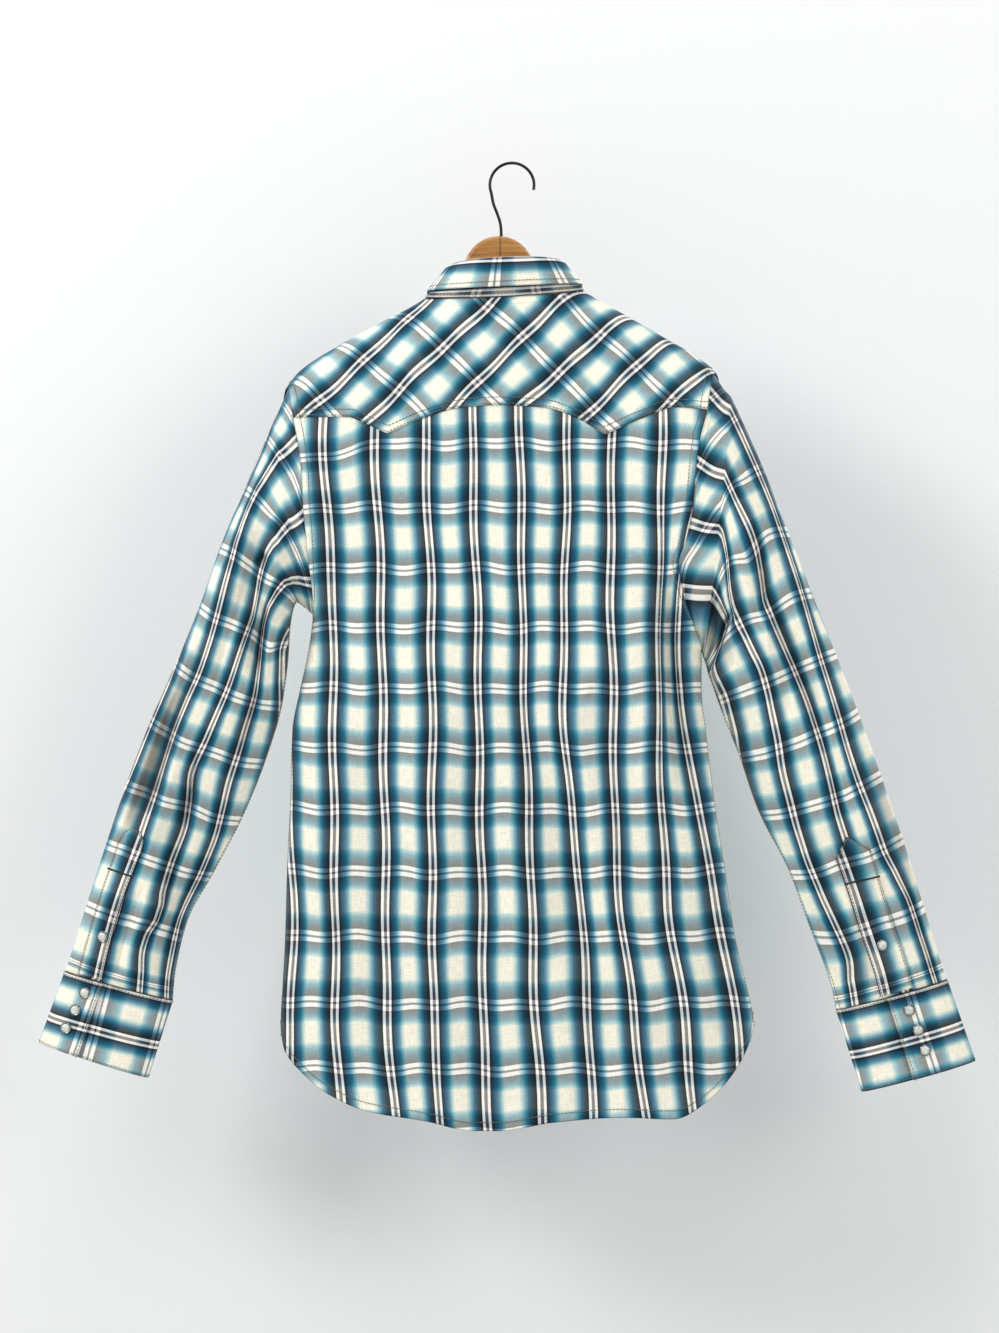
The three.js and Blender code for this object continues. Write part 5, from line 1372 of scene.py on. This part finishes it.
@dataclass(frozen=True)
class Mottled:
    """A finish whose colour varies a little over the surface."""

    name: str
    light: str
    dark: str
    roughness: float
    metallic: float = 0.0
    scale: float = 300.0
    coat: float = 0.0

    def material(self) -> bpy.types.Material:
        """Makes the material."""
        material, tree, shader = new_material(self.name)
        place = add_node(tree, "ShaderNodeTexCoord").outputs["Object"]
        noise = add_node(tree, "ShaderNodeTexNoise", {"Vector": place, "Scale": self.scale, "Detail": 3.0})
        ramp = add_node(tree, "ShaderNodeValToRGB", {"Fac": noise.outputs[0]})
        ramp.color_ramp.elements[0].color = linear(self.dark)
        ramp.color_ramp.elements[1].color = linear(self.light)
        ramp.color_ramp.elements[0].position, ramp.color_ramp.elements[1].position = 0.3, 0.7
        tree.links.new(ramp.outputs["Color"], shader.inputs["Base Color"])
        shader.inputs["Roughness"].default_value = self.roughness
        shader.inputs["Metallic"].default_value = self.metallic
        shader.inputs["Coat Weight"].default_value = self.coat
        return material


@dataclass(frozen=True)
class HoneyWood:
    """Varnished wood with its grain along the arms and a glued joint in the middle."""

    joint_x: float = -0.011
    grain: tuple = ((0.32, "9A5F27"), (0.68, "D09B55"))

    def material(self) -> bpy.types.Material:
        """Makes the material."""
        material, tree, shader = new_material("hanger_wood")
        place = add_node(tree, "ShaderNodeTexCoord").outputs["Object"]
        along = add_node(tree, "ShaderNodeMapping", {"Vector": place, "Scale": (9.0, 160.0, 95.0)}).outputs[0]
        noise = add_node(
            tree, "ShaderNodeTexNoise", {"Vector": along, "Scale": 2.0, "Detail": 6.0, "Distortion": 0.6}
        )
        ramp = add_node(tree, "ShaderNodeValToRGB", {"Fac": noise.outputs[0]})
        for element, (position, colour) in zip(ramp.color_ramp.elements, self.grain):
            element.position, element.color = position, linear(colour)
        x = add_node(tree, "ShaderNodeSeparateXYZ", {0: place}).outputs["X"]
        from_joint = maths(tree, "ABSOLUTE", maths(tree, "SUBTRACT", x, self.joint_x))
        joint = mapped(tree, from_joint, (0.0003, 0.0009), (0.35, 1.0))
        tree.links.new(shaded(tree, ramp.outputs["Color"], joint), shader.inputs["Base Color"])
        bump = add_node(
            tree, "ShaderNodeBump", {"Height": noise.outputs[0], "Distance": 0.0002, "Strength": 0.5}
        )
        tree.links.new(bump.outputs["Normal"], shader.inputs["Normal"])
        shader.inputs["Roughness"].default_value = 0.42
        shader.inputs["Coat Weight"].default_value = 0.35
        return material


@dataclass(frozen=True)
class Matte:
    """A plain stage finish, seen only from its front side if it is one sided."""

    name: str
    colour: str
    one_sided: bool = False

    def material(self) -> bpy.types.Material:
        """Makes the material."""
        material, tree, shader = new_material(self.name)
        shader.inputs["Base Color"].default_value = linear(self.colour)
        shader.inputs["Roughness"].default_value = 0.95
        shader.inputs["Specular IOR Level"].default_value = 0.1
        if self.one_sided:
            side = add_node(tree, "ShaderNodeNewGeometry").outputs["Backfacing"]
            clear = add_node(tree, "ShaderNodeBsdfTransparent").outputs[0]
            both = add_node(tree, "ShaderNodeMixShader", {0: side, 1: shader.outputs[0], 2: clear})
            tree.links.new(both.outputs[0], tree.nodes["Material Output"].inputs["Surface"])
        return material


@dataclass
class Stitching:
    """Rows of stitches, laid along lines by geometry nodes."""

    pitch: float = 3.4
    stitch: float = 2.5
    thread: float = 0.33
    seed: int = 7
    lines: list = field(default_factory=list)

    @staticmethod
    def group() -> bpy.types.NodeTree:
        """Makes the node group that puts a stitch at each step along the lines."""
        if "stitch_rows" in bpy.data.node_groups:
            return bpy.data.node_groups["stitch_rows"]
        tree = bpy.data.node_groups.new("stitch_rows", "GeometryNodeTree")
        for name, kind in (
            ("Geometry", "Geometry"), ("Pitch", "Float"), ("Stitch length", "Float"),
            ("Thread radius", "Float"), ("Seed", "Int"), ("Material", "Material"),
        ):
            tree.interface.new_socket(name, in_out="INPUT", socket_type=f"NodeSocket{kind}")
        tree.interface.new_socket("Geometry", in_out="OUTPUT", socket_type="NodeSocketGeometry")
        given = tree.nodes.new("NodeGroupInput").outputs
        made = tree.nodes.new("NodeGroupOutput").inputs
        curve = add_node(tree, "GeometryNodeMeshToCurve", {"Mesh": given["Geometry"]})
        places = add_node(
            tree, "GeometryNodeCurveToPoints",
            {"Curve": curve.outputs[0], "Length": given["Pitch"]}, mode="LENGTH",
        )
        stitch = add_node(
            tree, "GeometryNodeMeshCylinder",
            {"Vertices": 6, "Radius": given["Thread radius"], "Depth": given["Stitch length"]},
        )
        scale = add_node(
            tree, "FunctionNodeRandomValue",
            {0: (0.9, 0.9, 0.85), 1: (1.1, 1.1, 1.1), "Seed": given["Seed"]}, data_type="FLOAT_VECTOR",
        )
        laid = add_node(
            tree, "GeometryNodeInstanceOnPoints",
            {
                "Points": places.outputs["Points"], "Instance": stitch.outputs["Mesh"],
                "Rotation": places.outputs["Rotation"], "Scale": scale.outputs[0],
            },
        )
        real = add_node(tree, "GeometryNodeRealizeInstances", {"Geometry": laid.outputs[0]})
        dressed = add_node(
            tree, "GeometryNodeSetMaterial", {"Geometry": real.outputs[0], "Material": given["Material"]}
        )
        tree.links.new(dressed.outputs[0], made["Geometry"])
        return tree

    def build(self, name: str, material: bpy.types.Material) -> bpy.types.Object:
        """Makes all the stitches as one piece.

        Args:
            name: The piece's name.
            material: The thread's material.

        Returns:
            The piece.
        """
        vertices, edges = [], []
        for line in self.lines:
            edges += [(len(vertices) + i, len(vertices) + i + 1) for i in range(len(line) - 1)]
            vertices += (line * MM).tolist()
        mesh = bpy.data.meshes.new(f"{name}_lines")
        mesh.from_pydata(vertices, edges, [])
        guide = bpy.data.objects.new(f"{name}_lines", mesh)
        bpy.context.scene.collection.objects.link(guide)
        tree = self.group()
        modifier = guide.modifiers.new("stitches", "NODES")
        modifier.node_group = tree
        values = {
            "Pitch": self.pitch * MM, "Stitch length": self.stitch * MM,
            "Thread radius": self.thread * MM, "Seed": self.seed, "Material": material,
        }
        for socket in tree.interface.items_tree:
            if socket.in_out == "INPUT" and socket.name in values:
                modifier[socket.identifier] = values[socket.name]
        bpy.context.view_layer.update()
        made = bpy.data.meshes.new_from_object(guide.evaluated_get(bpy.context.evaluated_depsgraph_get()))
        bpy.data.objects.remove(guide)
        made.name = name
        return finish_mesh(made, name, material)


def lathe(profile: tuple, place: np.ndarray, direction: np.ndarray, ring: bool, steps: int = 28) -> tuple:
    """A turned shape that stands on a place.

    Args:
        profile: Radius and height of each point of its section, which starts and ends on the axis unless
            the shape is a ring.
        place: Where its axis stands.
        direction: The direction of its axis.
        ring: Whether the section's last point is joined to its first one.
        steps: The number of steps round it.

    Returns:
        Its vertices and faces.
    """
    turn = Vector((0, 0, 1)).rotation_difference(Vector(direction)).to_matrix()
    angles = np.linspace(0, 2 * np.pi, steps, endpoint=False)
    vertices = []
    for radius, height in profile:
        circle = np.stack([radius * np.cos(angles), radius * np.sin(angles), np.full(steps, height)], -1)
        vertices.append(circle @ np.array(turn).T + place)
    faces = []
    last = len(profile) - 1
    for i in range(last + 1 if ring else last):
        low, high = i * steps, (i + 1) % len(profile) * steps
        for j in range(steps):
            k = (j + 1) % steps
            faces.append((low + j, low + k, high + k, high + j))
    if not ring:
        faces += [tuple(range(steps)), tuple(last * steps + j for j in range(steps))]
    return np.concatenate(vertices), faces


@dataclass
class Snaps:
    """The pearl snaps: a metal ring and a pearl cap in it."""

    pieces: dict
    cap: tuple = ((0.01, 0.4), (4.0, 0.4), (4.05, 1.1), (3.6, 1.75), (2.6, 2.15), (1.3, 2.35), (0.01, 2.4))
    ring: tuple = (
        (3.7, 0.1), (5.25, 0.1), (5.45, 0.6), (5.2, 1.35), (4.6, 1.75), (4.1, 1.6), (3.8, 1.2), (3.7, 0.6),
    )

    def carriers(self) -> dict:
        """The cloth piece that carries each snap node."""
        made = {f"snap_front_{index}": "front_placket" for index in range(1, 8)}
        made["snap_collar"] = "collar_stand"
        for side in Side:
            made[f"snap_sleeve_{side.value}"] = f"sleeve_placket_{side.value}"
            for index in range(1, 4):
                made[f"snap_cuff_{side.value}_{index}"] = f"cuff_{side.value}"
        return made

    def build(self, pearl: bpy.types.Material, metal: bpy.types.Material) -> None:
        """Makes a cap and a ring for each snap's solid.

        Args:
            pearl: The caps' material.
            metal: The rings' material.
        """
        for node, carrier in self.carriers().items():
            low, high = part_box(node)
            centre = np.array([(a + b) / 2 / MM for a, b in zip(low, high)])
            near, facing = self.pieces[carrier].nearest(centre)
            along = float(np.dot(near - centre, facing))
            place = centre + facing * (along - 0.05)
            for part, profile, material in (("cap", self.cap, pearl), ("ring", self.ring, metal)):
                vertices, faces = lathe(profile, place, facing, ring=part == "ring")
                mesh = bpy.data.meshes.new(f"{node}_{part}")
                mesh.from_pydata((vertices * MM).tolist(), [], faces)
                piece = finish_mesh(mesh, f"{node}_{part}", material, sharp=50)
                if part == "cap":
                    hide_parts(node)


@dataclass
class Hanger:
    """The wooden hanger and its hook, which are the solids themselves."""

    wood: bpy.types.Material
    wire: bpy.types.Material

    def dress(self) -> None:
        """Gives both solids their finishes."""
        for node, material in (("hanger_wood", self.wood), ("hanger_hook", self.wire)):
            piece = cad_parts[node]
            piece.data.materials.clear()
            piece.data.materials.append(material)
            piece.data.shade_smooth()
            piece.data.set_sharp_from_angle(angle=math.radians(35))
            LOG.info("%s: dressed", node)


@dataclass
class Studio:
    """Wall, floor, lights and camera."""

    middle: tuple = (-0.0116, 0.0, -0.4669)
    frame_height: float = 1.2397
    distance: float = 3.4
    sensor: float = 36.0
    wall_y: float = 0.16
    floor_z: float = -1.5
    wall_top: float = 2.5
    reach: float = 4.0
    lights: tuple = (
        ("key", (-2.6, -1.6, 1.2), 1.1, 68), ("fill", (2.3, -2.2, 0.5), 1.6, 30),
        ("top", (0.3, -0.8, 2.2), 1.4, 22), ("front", (1.4, 2.6, 1.2), 2.0, 60),
        ("front_fill", (-2.0, 2.4, 0.0), 2.2, 26),
    )

    def plane(self, name: str, corners: list, material: bpy.types.Material) -> bpy.types.Object:
        """A flat stage piece between four corners."""
        mesh = bpy.data.meshes.new(name)
        mesh.from_pydata(corners, [], [(0, 1, 2, 3)])
        mesh.materials.append(material)
        made = bpy.data.objects.new(name, mesh)
        bpy.context.scene.collection.objects.link(made)
        return made

    def light(self, name: str, place: tuple, size: float, power: float) -> None:
        """A square lamp that faces the shirt."""
        lamp = bpy.data.lights.new(name, "AREA")
        lamp.size, lamp.energy = size, power
        made = bpy.data.objects.new(name, lamp)
        made.location = place
        direction = Vector(self.middle) - Vector(place)
        made.rotation_euler = direction.to_track_quat("-Z", "Y").to_euler()
        bpy.context.scene.collection.objects.link(made)

    def build(self) -> None:
        """Makes the stage, the lights, the surroundings and the camera."""
        reach, back, low, high = self.reach, self.wall_y, self.floor_z, self.wall_top
        wall = self.plane(
            "wall", [(-reach, back, low), (reach, back, low), (reach, back, high), (-reach, back, high)],
            Matte("wall", "F1F1F1", one_sided=True).material(),
        )
        wall.visible_shadow = False
        wall.visible_diffuse = False
        floor = self.plane(
            "floor", [(-reach, -reach, low), (reach, -reach, low), (reach, reach, low), (-reach, reach, low)],
            Matte("floor", "DEDEDD").material(),
        )
        for light in self.lights:
            self.light(*light)
        world = bpy.data.worlds.new("surroundings")
        world.use_nodes = True
        background = world.node_tree.nodes["Background"]
        background.inputs["Color"].default_value = linear("E6E8EB")
        background.inputs["Strength"].default_value = 0.5
        bpy.context.scene.world = world
        bpy.context.scene.view_settings.view_transform = "Standard"
        lens = bpy.data.cameras.new("camera")
        lens.sensor_width = self.sensor
        lens.lens = self.sensor * self.distance / self.frame_height
        camera = bpy.data.objects.new("camera", lens)
        camera.location = (self.middle[0], -self.distance, self.middle[2])
        camera.rotation_euler = (math.pi / 2, 0, 0)
        bpy.context.scene.collection.objects.link(camera)
        bpy.context.scene.camera = camera


def seam_lines(pieces: dict) -> list:
    """The rows of topstitching of the whole shirt."""
    yoke, back = pieces["back_yoke"], pieces["back"]
    lines = [yoke.line(Edge.TOP, inset) for inset in (1.8, 7.5)]
    lines += [yoke.line(Edge.START, 7.0), yoke.line(Edge.END, 7.0)]
    lines += [yoke.line(Edge.BOTTOM, 2.0, part=(0.0, 0.25)), yoke.line(Edge.BOTTOM, 2.0, part=(0.75, 1.0))]
    lines += [back.line(Edge.START, 7.0), back.line(Edge.END, 7.0), back.line(Edge.BOTTOM, 8.0)]
    for side in ("left", "right"):
        front, front_yoke = pieces[f"front_{side}"], pieces[f"front_yoke_{side}"]
        lines += [front.line(Edge.START, 7.0), front.line(Edge.BOTTOM, 8.0, part=(0.0, 0.93))]
        lines += [front_yoke.line(Edge.TOP, 1.8), front_yoke.line(Edge.START, 7.0)]
        cuff, band = pieces[f"cuff_{side}"], pieces[f"sleeve_placket_{side}"]
        lines += [cuff.line(edge, 2.0) for edge in (Edge.TOP, Edge.BOTTOM, Edge.START)]
        lines += [band.line(edge, 1.8) for edge in (Edge.TOP, Edge.START, Edge.END)]
        sleeve = pieces[f"sleeve_{side}"]
        lines += [sleeve.line(Edge.START, inset, part=(0.1, 1.0)) for inset in (2.0, 8.0)]
    placket, leaf = pieces["front_placket"], pieces["collar_leaf"]
    lines += [placket.line(Edge.START, 6.0), placket.line(Edge.END, 6.0)]
    lines += [leaf.line(edge, 5.0) for edge in (Edge.END, Edge.TOP, Edge.BOTTOM)]
    lines.append(pieces["collar_stand"].line(Edge.START, 2.0))
    return lines


def main() -> None:
    """Builds and dresses the shirt, the hanger and the studio."""
    form = BodyForm()
    pieces = Torso(form).build()
    for side in Side:
        pieces |= Sleeve(side, pieces).build()
    pieces |= Collar(form).build()
    cotton = PlaidCotton(Groups()).material()
    for piece in pieces.values():
        piece.build(cotton)
    thread = Mottled("thread", "8B8270", "5D574B", 0.8, scale=900).material()
    dark_thread = Mottled("dark_thread", "1B2328", "0C1013", 0.8, scale=900).material()
    bands = [pieces[f"sleeve_placket_{side.value}"] for side in Side]
    bars = [band.points[BAR_ROW] + 0.5 * band.normals[BAR_ROW] for band in bands]
    rows = Stitching(lines=seam_lines(pieces)).build("topstitching", thread)
    dense = Stitching(pitch=1.1, stitch=1.5, thread=0.85, lines=bars).build("placket_bars", dark_thread)
    pearl = Mottled("pearl", "E4E8E0", "B9C4BD", 0.2, coat=0.6, scale=260).material()
    metal = Mottled("snap_metal", "A3A19A", "76746E", 0.32, metallic=1.0, scale=700).material()
    Snaps(pieces).build(pearl, metal)
    wire = Mottled("hook_wire", "2B302D", "161917", 0.35, metallic=0.85, scale=500).material()
    Hanger(HoneyWood().material(), wire).dress()
    Studio().build()
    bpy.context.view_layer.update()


if __name__ == "__main__":
    logging.basicConfig(level=logging.INFO)
    main()
